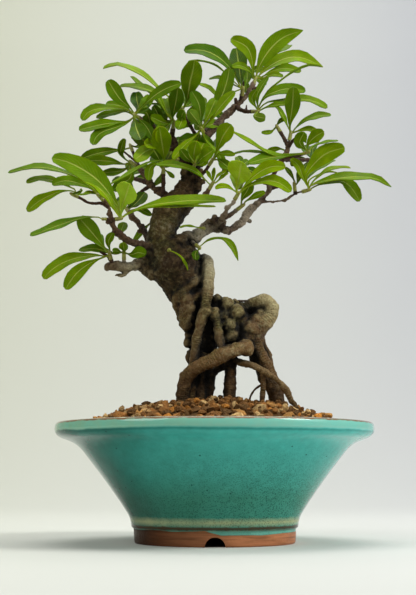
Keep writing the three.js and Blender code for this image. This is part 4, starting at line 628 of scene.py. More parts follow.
# Granules lie within this reach in mm, and their edges stay within the wall. Every fourth lies on top.
GRANULE_REACH = 84.2
WALL_REACH = 85
TOP_LAYER = 4
PEBBLE_KINDS = 9
PEBBLE_CUTS = 8

# How many mm apart the rings of a limb and of a twig are, and the scars on a twig. Then how far the scars
# and the roughness change its radius.
LIMB_STEP = 1.2
TWIG_STEP = 0.7
SCAR_SPACING = 5.2
SCAR_HEIGHT = 0.22
TWIG_ROUGHNESS = 0.09

# Crevices are sought against the bark smoothed so many times, and count for so much.
# Crevices get painted shade, and the crests between them a painted highlight.
BROAD_ROUNDS = 18
BROAD_WEIGHT = 0.55
FINE_ROUNDS = 4
FINE_WEIGHT = 0.9

# How fine the swells, knobs, cracks and lumps of the bark are, and above what noise they begin.
SWELL_FINENESS = 110
KNOB_FINENESS = 260
KNOB_FROM = 0.05
CRACK_FINENESS = 330
CRACK_UNDER = 0.16
LUMP_FINENESS = 620

# Each point of the bark looks in so many ways, from so far off the bark and so far, both in mm. It is
# shut in when the wood stands in so many of them.
# Shut-in bark is painted dark, as shade.
WAYS_ROUND = 24
WAY_START = 0.4
WAY_REACH = 28
SHUT_WAYS = 10

# Limbs slimmer than this, and so high over the table, have the bark of twigs. It fades in. All in mm.
SLIM_RADIUS = 3.7
SLIM_FADE = 1.3
SLIM_ABOVE = 150
SLIM_RISE = 15
TWIGS_ABOVE = 140

# So many points are compared with the limbs at once.
POINTS_AT_ONCE = 4000

# A try at a blade's way is taken at once when it misses the corners of its solid by less, in mm.
NEAR_ENOUGH = 0.25

# How far the leaves of a spray differ in brightness, and how much darker those are whose tips lie so far
# back, in mm: painted shade inside the crown.
SHADE_SPREAD = 0.16
BEHIND_DARKER = 0.12
FAR_BACK = -20

# Points of a leaf's blank crowd together past this share of its length.
TIP_FROM = 0.7
TIP_SHARE = 0.3
WAVES = 15

# The paper on which the pot stands, in metres: its size, the height of its back and the bend between.
PAPER_SIZE = (6, 4, 1)
PAPER_BACK = 3
PAPER_BEND = 1.4
AIR_COLOUR = (0.93, 0.96, 1.0, 1.0)

# Lamps as place, aim and width in metres, and the height of a long one.
LAMPS = {
    "paper": ((0, 0.75, 1.5), (0, 2.0, 0.55), 1.6, None),
    "left": ((-0.75, -0.55, 0.75), (0, 0, 0.15), 0.7, None),
    "right": ((0.8, -0.3, 0.6), (0, 0, 0.15), 0.6, None),
    "above": ((0.05, 0.1, 1.15), (0, 0, 0.1), 0.9, None),
    "glint": ((0.8, -0.36, 0.8), (0.03, -0.05, 0.07), 0.42, 0.25),
}

GOLDEN_ANGLE = math.pi * (3 - math.sqrt(5))


def at(x, y, depth):
    """The place in space, in mm from the pot's axis, that the picture shows at x and y."""
    across = (x - PICTURE_CENTRE[0]) / FOCAL_PIXELS
    up = (PICTURE_CENTRE[1] - y) / FOCAL_PIXELS
    forward = math.cos(EYE_TILT) - up * math.sin(EYE_TILT)
    rise = math.sin(EYE_TILT) + up * math.cos(EYE_TILT)
    reach = (EYE_DISTANCE - depth) / forward
    return np.array([EYE_ASIDE + across * reach, -depth, EYE_HEIGHT + rise * reach])


def spot(point):
    """The spot of the picture on which a place in space falls."""
    away = EYE_DISTANCE + point[1]
    above = point[2] - EYE_HEIGHT
    forward = away * math.cos(EYE_TILT) + above * math.sin(EYE_TILT)
    rise = above * math.cos(EYE_TILT) - away * math.sin(EYE_TILT)
    x = PICTURE_CENTRE[0] + FOCAL_PIXELS * (point[0] - EYE_ASIDE) / forward
    return np.array([x, PICTURE_CENTRE[1] - FOCAL_PIXELS * rise / forward])


def placed(points):
    """Places in mm from the pot's axis as metres of the frame."""
    return (np.asarray(points, dtype=float) + AXIS) * MM


def unit(vector):
    return vector / max(np.linalg.norm(vector), 1e-12)


def square_to(tangent, facing):
    """The way that faces as told, as far as it can when it stands square to a tangent."""
    return unit(facing - tangent * facing.dot(tangent))


def run_of(points):
    """How far along a line each of its points lies."""
    return np.concatenate([[0], np.cumsum(np.linalg.norm(np.diff(points, axis=0), axis=1))])


def draws_from(seed):
    """The same even draws from 0 to 1 as the frame's source makes."""
    state = seed

    def draw():
        nonlocal state
        state = (state * 1664525 + 1013904223) & 0xFFFFFFFF
        return state / 4294967296
    return draw


class Way:
    """A smooth way through points, read by the share of its length."""

    def __init__(self, points, steps=24):
        points = np.asarray(points, dtype=float)
        ends = np.vstack([2 * points[0] - points[1], points, 2 * points[-1] - points[-2]])
        share = np.linspace(0, 1, steps, endpoint=False)[:, None]
        spans = []
        for i in range(len(points) - 1):
            before, here, there, after = ends[i:i + 4]
            leave = 0.5 * (there - before)
            reach = 0.5 * (after - here)
            spans.append(here + leave * share + (3 * (there - here) - 2 * leave - reach) * share ** 2
                         + (2 * (here - there) + leave + reach) * share ** 3)
        self.dense = np.vstack(spans + [points[-1:]])
        self.gone = run_of(self.dense)
        self.length = self.gone[-1]

    def places(self, shares):
        where = np.asarray(shares) * self.length
        return np.stack([np.interp(where, self.gone, column) for column in self.dense.T], axis=-1)

    def headings(self, shares):
        small = 0.004
        shares = np.asarray(shares)
        ahead = self.places(np.minimum(shares + small, 1)) - self.places(np.maximum(shares - small, 0))
        return ahead / np.maximum(np.linalg.norm(ahead, axis=-1, keepdims=True), 1e-12)


def pick(*objects):
    """Deselects everything, then selects these objects."""
    if bpy.context.object and bpy.context.object.mode != "OBJECT":
        bpy.ops.object.mode_set(mode="OBJECT")
    bpy.ops.object.select_all(action="DESELECT")
    for obj in objects:
        obj.select_set(True)
    if objects:
        bpy.context.view_layer.objects.active = objects[0]


def finish_modifier(obj, kind, **settings):
    """Adds a modifier with these settings and applies it."""
    modifier = obj.modifiers.new(kind.title(), kind)
    for key, value in settings.items():
        setattr(modifier, key, value)
    pick(obj)
    bpy.ops.object.modifier_apply(modifier=modifier.name)


def linked(name, data):
    """A new object with this data, in the scene."""
    obj = bpy.data.objects.new(name, data)
    bpy.context.scene.collection.objects.link(obj)
    return obj


def joined(*objects):
    """Joins these objects into the first."""
    pick(*objects)
    if len(objects) > 1:
        bpy.ops.object.join()
    return objects[0]


def edit_all():
    """Opens the active object's mesh for editing, all of it selected."""
    bpy.ops.object.mode_set(mode="EDIT")
    bpy.ops.mesh.select_all(action="SELECT")


def smooth(obj, degrees=None):
    """Shades an object smoothly, with sharp edges past an angle when one is given."""
    pick(obj)
    if degrees is None:
        bpy.ops.object.shade_smooth()
    else:
        bpy.ops.object.shade_smooth_by_angle(angle=math.radians(degrees))


def dress(obj, *materials):
    """Gives an object these materials and no others."""
    obj.data.materials.clear()
    for material in materials:
        obj.data.materials.append(material)


def vectors_of(mesh, kind):
    vectors = np.empty(len(mesh.vertices) * 3)
    mesh.vertices.foreach_get(kind, vectors)
    return vectors.reshape(-1, 3)


def positions(mesh):
    return vectors_of(mesh, "co")


def normals_of(mesh):
    return vectors_of(mesh, "normal")


def place_vertices(mesh, points):
    mesh.vertices.foreach_set("co", np.asarray(points, dtype=np.float32).ravel())
    mesh.update()


def point_values(mesh, name, values):
    """Writes a value, or a colour, to each point under a name."""
    values = np.asarray(values, dtype=np.float32)
    kind = "FLOAT_COLOR" if values.ndim == 2 else "FLOAT"
    layer = mesh.attributes.new(name, kind, "POINT")
    layer.data.foreach_set("color" if values.ndim == 2 else "value", values.ravel())


def smoothed_values(mesh, values, rounds):
    """Values of the points, each made even with its neighbours."""
    edges = np.empty(len(mesh.edges) * 2, dtype=np.int64)
    mesh.edges.foreach_get("vertices", edges)
    a, b = edges.reshape(-1, 2).T
    values = np.asarray(values, dtype=float)
    flat = values.reshape(len(values), -1)
    count = np.bincount(a, minlength=len(flat)) + np.bincount(b, minlength=len(flat))
    for _ in range(rounds):
        total = np.stack([
            np.bincount(a, weights=flat[b, k], minlength=len(flat))
            + np.bincount(b, weights=flat[a, k], minlength=len(flat)) for k in range(flat.shape[1])
        ], axis=1)
        flat = 0.5 * flat + 0.5 * total / np.maximum(count, 1)[:, None]
    return flat.reshape(values.shape)


def hollows(mesh, rounds):
    """How far each point lies below its smoothed surroundings, in mm: above 0 in a crevice."""
    spots = positions(mesh)
    away = smoothed_values(mesh, spots, rounds) - spots
    return (away * normals_of(mesh)).sum(axis=1) / MM


def tubes(name, strands, sides):
    """Round strands as one mesh. A strand is its places in mm and its radii in mm."""
    data = bpy.data.curves.new(name, "CURVE")
    data.dimensions = "3D"
    data.bevel_depth = MM
    data.bevel_resolution = sides
    data.use_fill_caps = True
    for places, radii in strands:
        spline = data.splines.new("POLY")
        spline.points.add(len(places) - 1)
        flat = np.ones((len(places), 4))
        flat[:, :3] = placed(places)
        spline.points.foreach_set("co", flat.ravel())
        spline.points.foreach_set("radius", np.asarray(radii, dtype=float))
        spline.use_smooth = True
    pick(linked(name, data))
    bpy.ops.object.convert(target="MESH")
    return bpy.context.object


# A round strand is slimmer than the corners of a limb with few sides.
ROUND_SHARE = {4: 0.84, 5: 0.89, 6: 0.92, 7: 0.93, 9: 0.97}


def is_thick(limb):
    return max(point[3] for point in limb[2]) > TWIG_RADIUS


def strand(limb, step, round_end=True):
    """A limb's places and radii, close together, with its end rounded off."""
    path = limb[2]
    centres = [at(*point[:3]) for point in path]
    way = Way(centres)
    count = max(3, int(way.length / step) + 1)
    shares = np.linspace(0, 1, count)
    places = way.places(shares)
    marks = [0]
    for i in range(1, len(centres)):
        marks.append(np.argmin(np.linalg.norm(way.dense - centres[i], axis=1)))
    told = [point[3] * ROUND_SHARE[limb[1]] for point in path]
    radii = np.interp(shares * way.length, way.gone[marks], told)
    if round_end:
        last = radii[-1]
        heading = way.headings([1])[0]
        bulge = np.sin(np.linspace(0, 1, 5)[1:] * math.pi / 2)
        places = np.vstack([places, places[-1] + heading * (0.8 * last * bulge)[:, None]])
        radii = np.concatenate([radii, last * np.sqrt(np.maximum(1 - bulge ** 2, 0.01))])
    return places, radii


def node(tree, kind, sockets=None, **settings):
    """Adds a shader node, sets it and its sockets, and joins those that are given another node's output."""
    made = tree.nodes.new(kind)
    for key, value in settings.items():
        setattr(made, key, value)
    for key, value in (sockets or {}).items():
        if isinstance(value, bpy.types.NodeSocket):
            tree.links.new(value, made.inputs[key])
        else:
            made.inputs[key].default_value = value
    return made


def colour_of(red, green, blue):
    """A colour given in the eight-bit steps of a colour chart."""
    line = [c / 255 for c in (red, green, blue)]
    return tuple(c / 12.92 if c <= 0.04045 else ((c + 0.055) / 1.055) ** 2.4 for c in line) + (1.0,)


def tree_of(*values):
    """The node tree that one or more of these values come from."""
    return next(value.id_data for value in values if isinstance(value, bpy.types.NodeSocket))


def ramp(value, stops, smooth=False):
    """The colour at a value, between stops that are places and colours."""
    made = node(tree_of(value), "ShaderNodeValToRGB", {"Fac": value})
    bar = made.color_ramp
    bar.interpolation = "EASE" if smooth else "LINEAR"
    while len(bar.elements) < len(stops):
        bar.elements.new(0.5)
    for element, (place, colour) in zip(bar.elements, stops):
        element.position = place
        element.color = colour if len(colour) == 4 else tuple(colour) + (1.0,)
    return made.outputs["Color"]


def blend(share, first, second):
    """The first colour where the share is 0 and the second where it is 1."""
    sockets = {0: share, 6: first, 7: second}
    return node(tree_of(share, first, second), "ShaderNodeMix", sockets, data_type="RGBA").outputs[2]


def sums(how, first, second=0.0, clamp=False):
    """Two values taken together, in the way of this name."""
    sockets = {0: first, 1: second}
    return node(tree_of(first, second), "ShaderNodeMath", sockets, operation=how, use_clamp=clamp).outputs[0]


def times(first, second):
    return sums("MULTIPLY", first, second)


def plus(first, second):
    return sums("ADD", first, second)


def less(first, second):
    return sums("SUBTRACT", first, second)


def uneven_by(value, mask, amount):
    """A value raised and lowered by a mask, by half the amount at most."""
    return plus(value, times(less(mask, 0.5), amount))


def tinted(colour, mask, amount, towards):
    """A colour drawn towards another one, by an amount, where a mask says."""
    return blend(times(mask, amount), colour, towards)


def spread(value, low, high, to_low=0.0, to_high=1.0):
    """A value taken from one range into another, and kept inside it."""
    sockets = {"Value": value, "From Min": low, "From Max": high, "To Min": to_low, "To Max": to_high}
    return node(tree_of(value), "ShaderNodeMapRange", sockets).outputs["Result"]


def values_of(tree, name):
    """What point_values wrote under a name, as Fac or Color."""
    return node(tree, "ShaderNodeAttribute", attribute_name=name).outputs


def effect(name, sockets, output, build):
    """The output of an effect: a shader node group that is built once and kept under its name."""
    if name not in bpy.data.node_groups:
        group = bpy.data.node_groups.new(name, "ShaderNodeTree")
        for label in sockets:
            kind = "NodeSocketVector" if label == "Vector" else "NodeSocketFloat"
            group.interface.new_socket(label, in_out="INPUT", socket_type=kind)
        group.interface.new_socket(output, in_out="OUTPUT", socket_type="NodeSocketFloat")
        given = group.nodes.new("NodeGroupInput").outputs
        result = group.nodes.new("NodeGroupOutput").inputs
        group.links.new(build(group, given), result[output])
    group = bpy.data.node_groups[name]
    return node(tree_of(sockets["Vector"]), "ShaderNodeGroup", sockets, node_tree=group).outputs[output]


def mottled(here, scale):
    """Soft uneven patches, from 0 to 1."""
    def build(group, given):
        broad = node(group, "ShaderNodeTexNoise", {
            "Vector": given["Vector"], "Scale": given["Scale"], "Detail": 5.0, "Roughness": 0.6})
        return spread(broad.outputs["Fac"], 0.32, 0.68)
    return effect("Mottling", {"Vector": here, "Scale": scale}, "Mask", build)


def speckled(here, scale, size, share):
    """Small scattered specks: 1 inside one, 0 between them."""
    def build(group, given):
        cells = node(group, "ShaderNodeTexVoronoi", {
            "Vector": given["Vector"], "Scale": given["Scale"], "Randomness": 1.0})
        inside = sums("LESS_THAN", cells.outputs["Distance"], given["Size"])
        chosen = node(group, "ShaderNodeSeparateColor", {"Color": cells.outputs["Color"]})
        return times(inside, sums("LESS_THAN", chosen.outputs["Red"], given["Share"]))
    return effect("Specks", {"Vector": here, "Scale": scale, "Size": size, "Share": share}, "Mask", build)


def grained(here, scale):
    """Height of a fine rough grain."""
    def build(group, given):
        grain = node(group, "ShaderNodeTexNoise", {
            "Vector": given["Vector"], "Scale": given["Scale"], "Detail": 8.0, "Roughness": 0.65})
        return grain.outputs["Fac"]
    return effect("Fine grain", {"Vector": here, "Scale": scale}, "Height", build)


def new_material(name, **constants):
    """A material with its shader; its constant values are set on the shader itself."""
    material = bpy.data.materials.new(name)
    material.use_nodes = True
    tree = material.node_tree
    shader = tree.nodes["Principled BSDF"]
    for label, value in constants.items():
        shader.inputs[label.replace("_", " ").title().replace("Ior", "IOR")].default_value = value
    coordinates = node(tree, "ShaderNodeTexCoord")
    return material, tree, shader, coordinates.outputs["Object"]


def raise_bump(tree, shader, height, distance):
    """Lets a height tilt the shader's normals; its distance is in metres."""
    bump = node(tree, "ShaderNodeBump", {"Height": height, "Distance": distance})
    tree.links.new(bump.outputs["Normal"], shader.inputs["Normal"])


def glaze_and_clay(settings):
    """Turquoise glaze over a bare clay foot, darker in patches and under the rim, speckled lower down;
    painted shade on the left, painted light on the rim's right.
    """
    material, tree, shader, here = new_material(
        "Turquoise glaze", coat_roughness=0.04, specular_ior_level=0.22, ior=1.3)
    parts = node(tree, "ShaderNodeSeparateXYZ", {"Vector": here})
    height = sums("DIVIDE", parts.outputs["Z"], MM)
    wide = less(sums("DIVIDE", parts.outputs["X"], MM), float(AXIS[0]))
    patches = mottled(here, 28.0)
    small = mottled(here, 160.0)
    low, middle, high = settings.body_low, settings.body, settings.body_high
    body = ramp(spread(height, *WALL), [(0.0, low), (0.3, low), (0.6, middle), (0.9, high)])
    # Painted shade: the glaze is drawn darker towards the pot's left side, away from the light.
    painted_side_shade = ramp(spread(wide, -95, 70), [(place, (shade,) * 3) for place, shade in (
        (0.0, 0.97), (0.2, 0.86), (0.45, 0.36), (0.75, 0.12), (1.0, 0.0))], smooth=True)
    body = blend(painted_side_shade, body, settings.deep_glaze_and_shade)
    body = tinted(body, patches, 0.2, settings.body_high)
    body = tinted(body, small, 0.2, settings.deep_glaze_and_shade)
    low_left = times(spread(height, 40, 16), spread(wide, 0, -60))
    rusty = times(low_left, patches)
    body = tinted(body, rusty, 0.75, settings.groove)
    dots = speckled(here, 820.0, 0.34, 0.62)
    fine_dots = speckled(here, 1500.0, 0.4, 0.62)
    big_dots = speckled(here, 240.0, 0.13, 0.1)
    more = times(spread(height, 62, 24), spread(wide, -60, 30, 0.25, 1.0))
    dots = times(sums("MAXIMUM", dots, fine_dots), times(more, 0.6))
    body = blend(sums("MAXIMUM", dots, times(big_dots, 0.7)), body, settings.speck)
    # A darker line just under the rim.
    under_rim = sums("ABSOLUTE", less(plus(height, patches), UNDER_RIM_LINE))
    body = blend(spread(under_rim, 1.1, 0.2, 0.0, 0.4), body, settings.deep_glaze_and_shade)
    rim = spread(plus(height, patches), *RIM)
    # Painted light: the rim is drawn paler towards the right, where the light falls.
    rim_colour = blend(spread(wide, -90, 60), settings.rim, settings.pale_glaze_and_lit_rim)
    rim_colour = tinted(rim_colour, small, 0.25, settings.body_high)
    whole = blend(rim, body, rim_colour)
    worn = plus(height, times(small, 0.5))
    edge = times(spread(worn, *LIP), spread(small, 0.0, 0.6, 0.7, 1.0))
    whole = blend(edge, whole, settings.rim_line)
    whole = blend(spread(worn, *CREAM), whole, settings.cream)
    line = node(tree, "ShaderNodeTexNoise", {"Vector": here, "Scale": 24.0, "Detail": 3.0})
    foot_line = plus(spread(line.outputs["Fac"], 0.35, 0.65, 6.2, 7.2), spread(wide, -6, 3, 2.1, -0.3))
    glazed = spread(less(height, foot_line), -0.15, 0.15)
    pale = plus(sums("ABSOLUTE", less(height, BAND)), times(small, 0.8))
    milky = times(spread(pale, 3.3, 0.5), spread(patches, 0, 1, 0.45, 0.95))
    whole = blend(milky, whole, settings.band)
    whole = blend(times(dots, spread(height, 18, 14, 0.0, 0.6)), whole, settings.speck)
    # A band of pale glaze under the groove.
    skirt = times(spread(height, 9.4, 8.6), spread(small, 0, 1, 0.45, 0.75))
    whole = blend(skirt, whole, settings.pale_glaze_and_lit_rim)
    ring = plus(sums("ABSOLUTE", less(height, GROOVE)), times(small, 0.5))
    whole = blend(spread(ring, 1.5, 0.7, 0.0, 0.92), whole, settings.groove)
    # Painted shade: the bare clay is drawn darker towards the left.
    clay = blend(spread(wide, -40, 10), settings.clay_dark_and_shade, settings.clay)
    flat = node(tree, "ShaderNodeVectorMath", {0: here, 1: (60.0, 60.0, 900.0)}, operation="MULTIPLY")
    turning = node(tree, "ShaderNodeTexNoise", {"Vector": flat.outputs[0], "Scale": 1.0, "Detail": 3.0})
    clay = blend(spread(turning.outputs["Fac"], 0.4, 0.7, 0.0, 0.5), clay, settings.clay_dark_and_shade)
    tree.links.new(blend(glazed, clay, whole), shader.inputs["Base Color"])
    tree.links.new(spread(glazed, 0, 1, 0.36, 0.12), shader.inputs["Roughness"])
    tree.links.new(times(glazed, spread(rim, 0, 1, 0.09, 0.6)), shader.inputs["Coat Weight"])
    grain = times(grained(here, 300.0), spread(glazed, 0, 1, 1.0, 0.12))
    raised = plus(grain, times(glazed, 1.2))
    raise_bump(tree, shader, raised, 0.0003)
    return material


def inner_clay(settings):
    """Unglazed clay of the pot's inside."""
    material, tree, shader, here = new_material("Bare clay", roughness=0.8)
    small = mottled(here, 180.0)
    tree.links.new(blend(small, settings.clay, settings.clay_dark_and_shade), shader.inputs["Base Color"])
    raise_bump(tree, shader, grained(here, 500.0), 0.0003)
    return material


def black_screen():
    """Black plastic mesh, dusty with clay."""
    material, tree, shader, here = new_material("Screen plastic", roughness=0.55)
    dust = mottled(here, 220.0)
    colour = tinted(SCREEN_BLACK, dust, 0.4, SCREEN_DUST)
    tree.links.new(colour, shader.inputs["Base Color"])
    raise_bump(tree, shader, grained(here, 900.0), 0.0002)
    return material


def soil_finish(name, shared):
    """Baked clay granules, or the bed under them: dull, pitted and dusty, each granule in its own colour;
    the pits get painted shade, and the bed is dark with painted shade between the granules.
    """
    material, tree, shader, here = new_material(name, roughness=0.85, specular_ior_level=0.06)
    base = values_of(tree, "granule")["Color"] if shared else BED_BROWN_AND_SHADE
    patches = mottled(here, 420.0)
    dusty = mottled(here, 1100.0)
    colour = tinted(base, patches, 0.6, SOIL_DARK)
    colour = tinted(colour, dusty, 0.2, SOIL_DUST)
    pits = speckled(here, 1500.0, 0.28, 0.35)
    # Painted shade in the pits.
    colour = tinted(colour, pits, 0.7, PIT_SHADE)
    tree.links.new(colour, shader.inputs["Base Color"])
    grain = grained(here, 700.0)
    raised = less(times(grain, 1.6), times(pits, 0.3))
    raise_bump(tree, shader, raised, 0.0007)
    return material


def bark_finish(settings):
    """Bark: brown and finely ringed, olive with moss or grey with lichen where it has aged, with painted
    shade in crevices, between roots and at dark spots, and painted highlights on crests.
    """
    material, tree, shader, here = new_material("Bark", specular_ior_level=0.22)
    growth = node(tree, "ShaderNodeSeparateColor", {"Color": values_of(tree, "growth")["Color"]})
    moss, grey, dark = (growth.outputs[k] for k in ("Red", "Green", "Blue"))
    twig = values_of(tree, "twig")["Fac"]
    deep = values_of(tree, "hollow")["Fac"]
    along = values_of(tree, "along")["Fac"]
    broad = mottled(here, 90.0)
    small = mottled(here, 380.0)
    tiny = mottled(here, 1300.0)
    brown = blend(broad, settings.brown, settings.pale_bark_and_highlight)
    height = node(tree, "ShaderNodeSeparateXYZ", {"Vector": here}).outputs["Z"]
    lichen = blend(spread(height, 0.15, 0.18), settings.lichen, settings.lichen_high)
    mossy = blend(small, settings.moss, settings.moss_dark)
    patchy = spread(uneven_by(moss, broad, 0.7), 0.2, 0.85)
    colour = tinted(brown, patchy, 0.88, mossy)
    flaky = spread(plus(grey, times(less(0.5, small), 0.5)), 0.15, 1.1)
    colour = tinted(colour, flaky, 0.9, lichen)
    # Painted shade, and dark bark near the soil, where the spots say dark.
    shade_and_stain = times(dark, spread(small, 0, 1, 0.65, 1.0))
    colour = blend(shade_and_stain, colour, settings.brown_dark)
    flakes = node(tree, "ShaderNodeTexNoise", {
        "Vector": here, "Scale": 620.0, "Detail": 4.0, "Roughness": 0.7})
    flecks = spread(flakes.outputs["Fac"], 0.62, 0.74)
    colour = blend(times(flecks, times(grey, 0.22)), colour, lichen)
    woody = blend(tiny, settings.twig, settings.twig_dark)
    woody = tinted(woody, spread(grey, 0.3, 0.8), 0.5, lichen)
    colour = tinted(colour, twig, 0.92, woody)
    wobble = node(tree, "ShaderNodeTexNoise", {"Vector": here, "Scale": 260.0, "Detail": 3.0})
    rings = sums("SINE", plus(times(along, 4.4), times(wobble.outputs["Fac"], 9.0)))
    banded = spread(broad, 0.35, 0.85, 0.1, 1.0)
    ringed = times(spread(rings, 0.35, 0.95), banded)
    colour = tinted(colour, ringed, 0.34, settings.brown_dark)
    pores = speckled(here, 850.0, 0.36, 0.45)
    colour = tinted(colour, pores, 0.5, settings.moss_dark)
    # Painted shade in the crevices.
    shade = spread(uneven_by(deep, tiny, 0.2), 0.0, 0.3)
    colour = tinted(colour, shade, 0.86, settings.crevice)
    # Painted shade where the wood shuts a point in, between the roots.
    inner = values_of(tree, "inner")["Fac"]
    colour = blend(spread(inner, 0.08, 0.48, 0.0, 0.97), colour, settings.crevice)
    # Painted highlight on the crests, with grey lichen where the bark is grey.
    crest_light_and_lichen = spread(deep, -0.1, -0.45)
    colour = tinted(colour, crest_light_and_lichen, 0.22, settings.pale_bark_and_highlight)
    colour = tinted(colour, times(crest_light_and_lichen, grey), 0.5, lichen)
    tree.links.new(colour, shader.inputs["Base Color"])
    dull = sums("ADD", spread(small, 0, 1, 0.32, 0.6), times(shade_and_stain, 0.4), clamp=True)
    tree.links.new(dull, shader.inputs["Roughness"])
    rough = grained(here, 520.0)
    ridges = times(times(rings, banded), 0.26)
    raised = plus(times(rough, 1.4), ridges)
    raise_bump(tree, shader, raised, 0.0012)
    return material


def leaf_finish(name, settings, under):
    """A leaf's face: glossy and darker above, dull and paler below, with a pale midrib and faint veins. Its
    green is painted lighter or darker for the light and shade it stands in.
    """
    material, tree, shader, here = new_material(
        name, specular_ior_level=0.025 if under else 0.035, subsurface_weight=0.2, subsurface_scale=0.0012)
    tone = values_of(tree, "tone")["Fac"]
    blade = node(tree, "ShaderNodeUVMap", uv_map="UVMap")
    parts = node(tree, "ShaderNodeSeparateXYZ", {"Vector": blade.outputs["UV"]})
    across = sums("ABSOLUTE", less(parts.outputs["X"], 0.5))
    along = parts.outputs["Y"]
    patches = mottled(here, 110.0)
    fine = mottled(here, 900.0)
    # Painted light and shade: the tone picks the green from dark to lit.
    green = ramp(spread(uneven_by(tone, patches, 0.28), 0, BRIGHTEST), [
        (0.0, settings.dark), (0.333, settings.middle), (0.667, settings.bright), (1.0, settings.lit)])
    cool = values_of(tree, "cool")["Fac"]
    green = tinted(green, cool, 0.4, settings.cool)
    if under:
        green = blend(0.4, green, settings.under)
    green = tinted(green, fine, 0.12, settings.dark)
    foot = spread(along, 0.22, 0.0)
    green = tinted(green, foot, 0.75, settings.stalk)
    veins = sums("SINE", plus(times(along, 120.0), times(across, -46.0)))
    vein = times(spread(veins, 0.72, 1.0), spread(across, 0.48, 0.1))
    green = tinted(green, vein, 0.2 if under else 0.1, settings.vein)
    rib = times(spread(across, 0.055, 0.012), spread(along, 1.0, 0.35, 0.25, 1.0))
    green = tinted(green, rib, 0.75, settings.vein)
    tree.links.new(green, shader.inputs["Base Color"])
    dull = spread(patches, 0, 1, 0.5 if under else 0.34, 0.7 if under else 0.52)
    tree.links.new(dull, shader.inputs["Roughness"])
    sunk = plus(times(rib, 1.6), times(vein, 0.35))
    rough = times(grained(here, 1400.0), 0.35)
    way = 1.0 if under else -1.0
    raise_bump(tree, shader, plus(rough, times(sunk, way)), 0.00025)
    return material


def bud_finish(settings):
    """The young wood of a shoot, green with brown scales."""
    material, tree, shader, here = new_material("Young shoot", roughness=0.5)
    patches = mottled(here, 900.0)
    tree.links.new(blend(patches, settings.stalk, settings.shoot), shader.inputs["Base Color"])
    raise_bump(tree, shader, grained(here, 1600.0), 0.0003)
    return material


def spun_profile(name, profile, steps):
    """A profile drawn point by point from one vertex, then spun round the pot's axis."""
    pick()
    bpy.ops.mesh.primitive_plane_add(size=MM, location=placed([profile[0][0], 0, profile[0][1]]))
    obj = bpy.context.object
    obj.name = name
    edit_all()
    bpy.ops.mesh.merge(type="CENTER")
    for before, after in zip(profile, profile[1:]):
        step = ((after[0] - before[0]) * MM, 0, (after[1] - before[1]) * MM)
        bpy.ops.mesh.extrude_vertices_move(TRANSFORM_OT_translate={"value": step})
    bpy.ops.mesh.select_all(action="SELECT")
    bpy.ops.mesh.spin(steps=steps, angle=2 * math.pi, center=tuple(placed([0, 0, 0])), axis=(0, 0, 1))
    bpy.ops.mesh.select_all(action="SELECT")
    bpy.ops.mesh.remove_doubles(threshold=0.01 * MM)
    bpy.ops.mesh.normals_make_consistent(inside=False)
    bpy.ops.object.mode_set(mode="OBJECT")
    pick(obj)
    bpy.ops.object.transform_apply(location=True, rotation=True, scale=True)
    return obj


def rounded(profile, steps=3):
    """A profile with a smooth way between its corners, in so many steps each."""
    return [tuple(point) for point in Way(profile, steps).dense]


class BONSAI_OT_pot(bpy.types.Operator):
    """Turns the glazed pot on its foot and cuts the foot's notches"""
    bl_idname = "bonsai.pot"
    bl_label = "Pot"
    bl_options = {"REGISTER", "UNDO"}

    def execute(self, context):
        settings = context.scene.bonsai_pot
        profile = rounded(POT_OUTSIDE) + rounded(POT_INSIDE) + POT_UNDERSIDE
        pot = spun_profile("glazed_pot", profile + profile[:1], settings.steps)
        points = positions(pot.data)
        wander = np.array([noise.noise(Vector(point) * WALL_FINENESS) for point in points])
        out = (points - placed([0, 0, 0]))[:, :2]
        wide = np.linalg.norm(out, axis=1, keepdims=True)
        points[:, :2] += out / np.maximum(wide, 1e-6) * (wander * settings.unevenness)[:, None]
        place_vertices(pot.data, points)
        for i in range(FOOT_NOTCHES):
            turn = 2 * math.pi * i / FOOT_NOTCHES - math.pi / 2
            across, deep = NOTCH_DISTANCE * math.cos(turn), NOTCH_DISTANCE * math.sin(turn)
            pick()
            bpy.ops.mesh.primitive_cylinder_add(
                vertices=48, radius=NOTCH_RADIUS * MM, depth=NOTCH_LENGTH * MM,
                location=placed([across, deep, -NOTCH_SINK]), rotation=(math.pi / 2, 0, turn + math.pi / 2))
            cutter = context.object
            finish_modifier(pot, "BOOLEAN", operation="DIFFERENCE", object=cutter, solver="EXACT")
            bpy.data.objects.remove(cutter)
        smooth(pot, 38)
        dress(pot, glaze_and_clay(settings), inner_clay(settings))
        low = placed([0, 0, 0])
        for face in pot.data.polygons:
            out = Vector((face.center.x - low[0], face.center.y - low[1], 0)).normalized()
            height = face.center.z / MM
            inside = face.normal.dot(out) < -0.3 or (abs(face.normal.z) > 0.9 and height < FLOOR_UNDER)
            if inside and CLAY_FROM < height < CLAY_TO:
                face.material_index = 1
        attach(pot, "root")
        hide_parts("pot")
        return {"FINISHED"}


class BONSAI_OT_screen(bpy.types.Operator):
    """Finishes the plastic screen that lies over the drain hole"""
    bl_idname = "bonsai.screen"
    bl_label = "Drain screen"
    bl_options = {"REGISTER", "UNDO"}

    def execute(self, context):
        dress(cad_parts["drain_screen"], black_screen())
        return {"FINISHED"}


def mound_height(radius):
    """The height of the mound of soil so far from the pot's axis, in mm."""
    return MOUND_HEIGHT + MOUND_RISE * (1 - (radius / MOUND_REACH) ** 2)


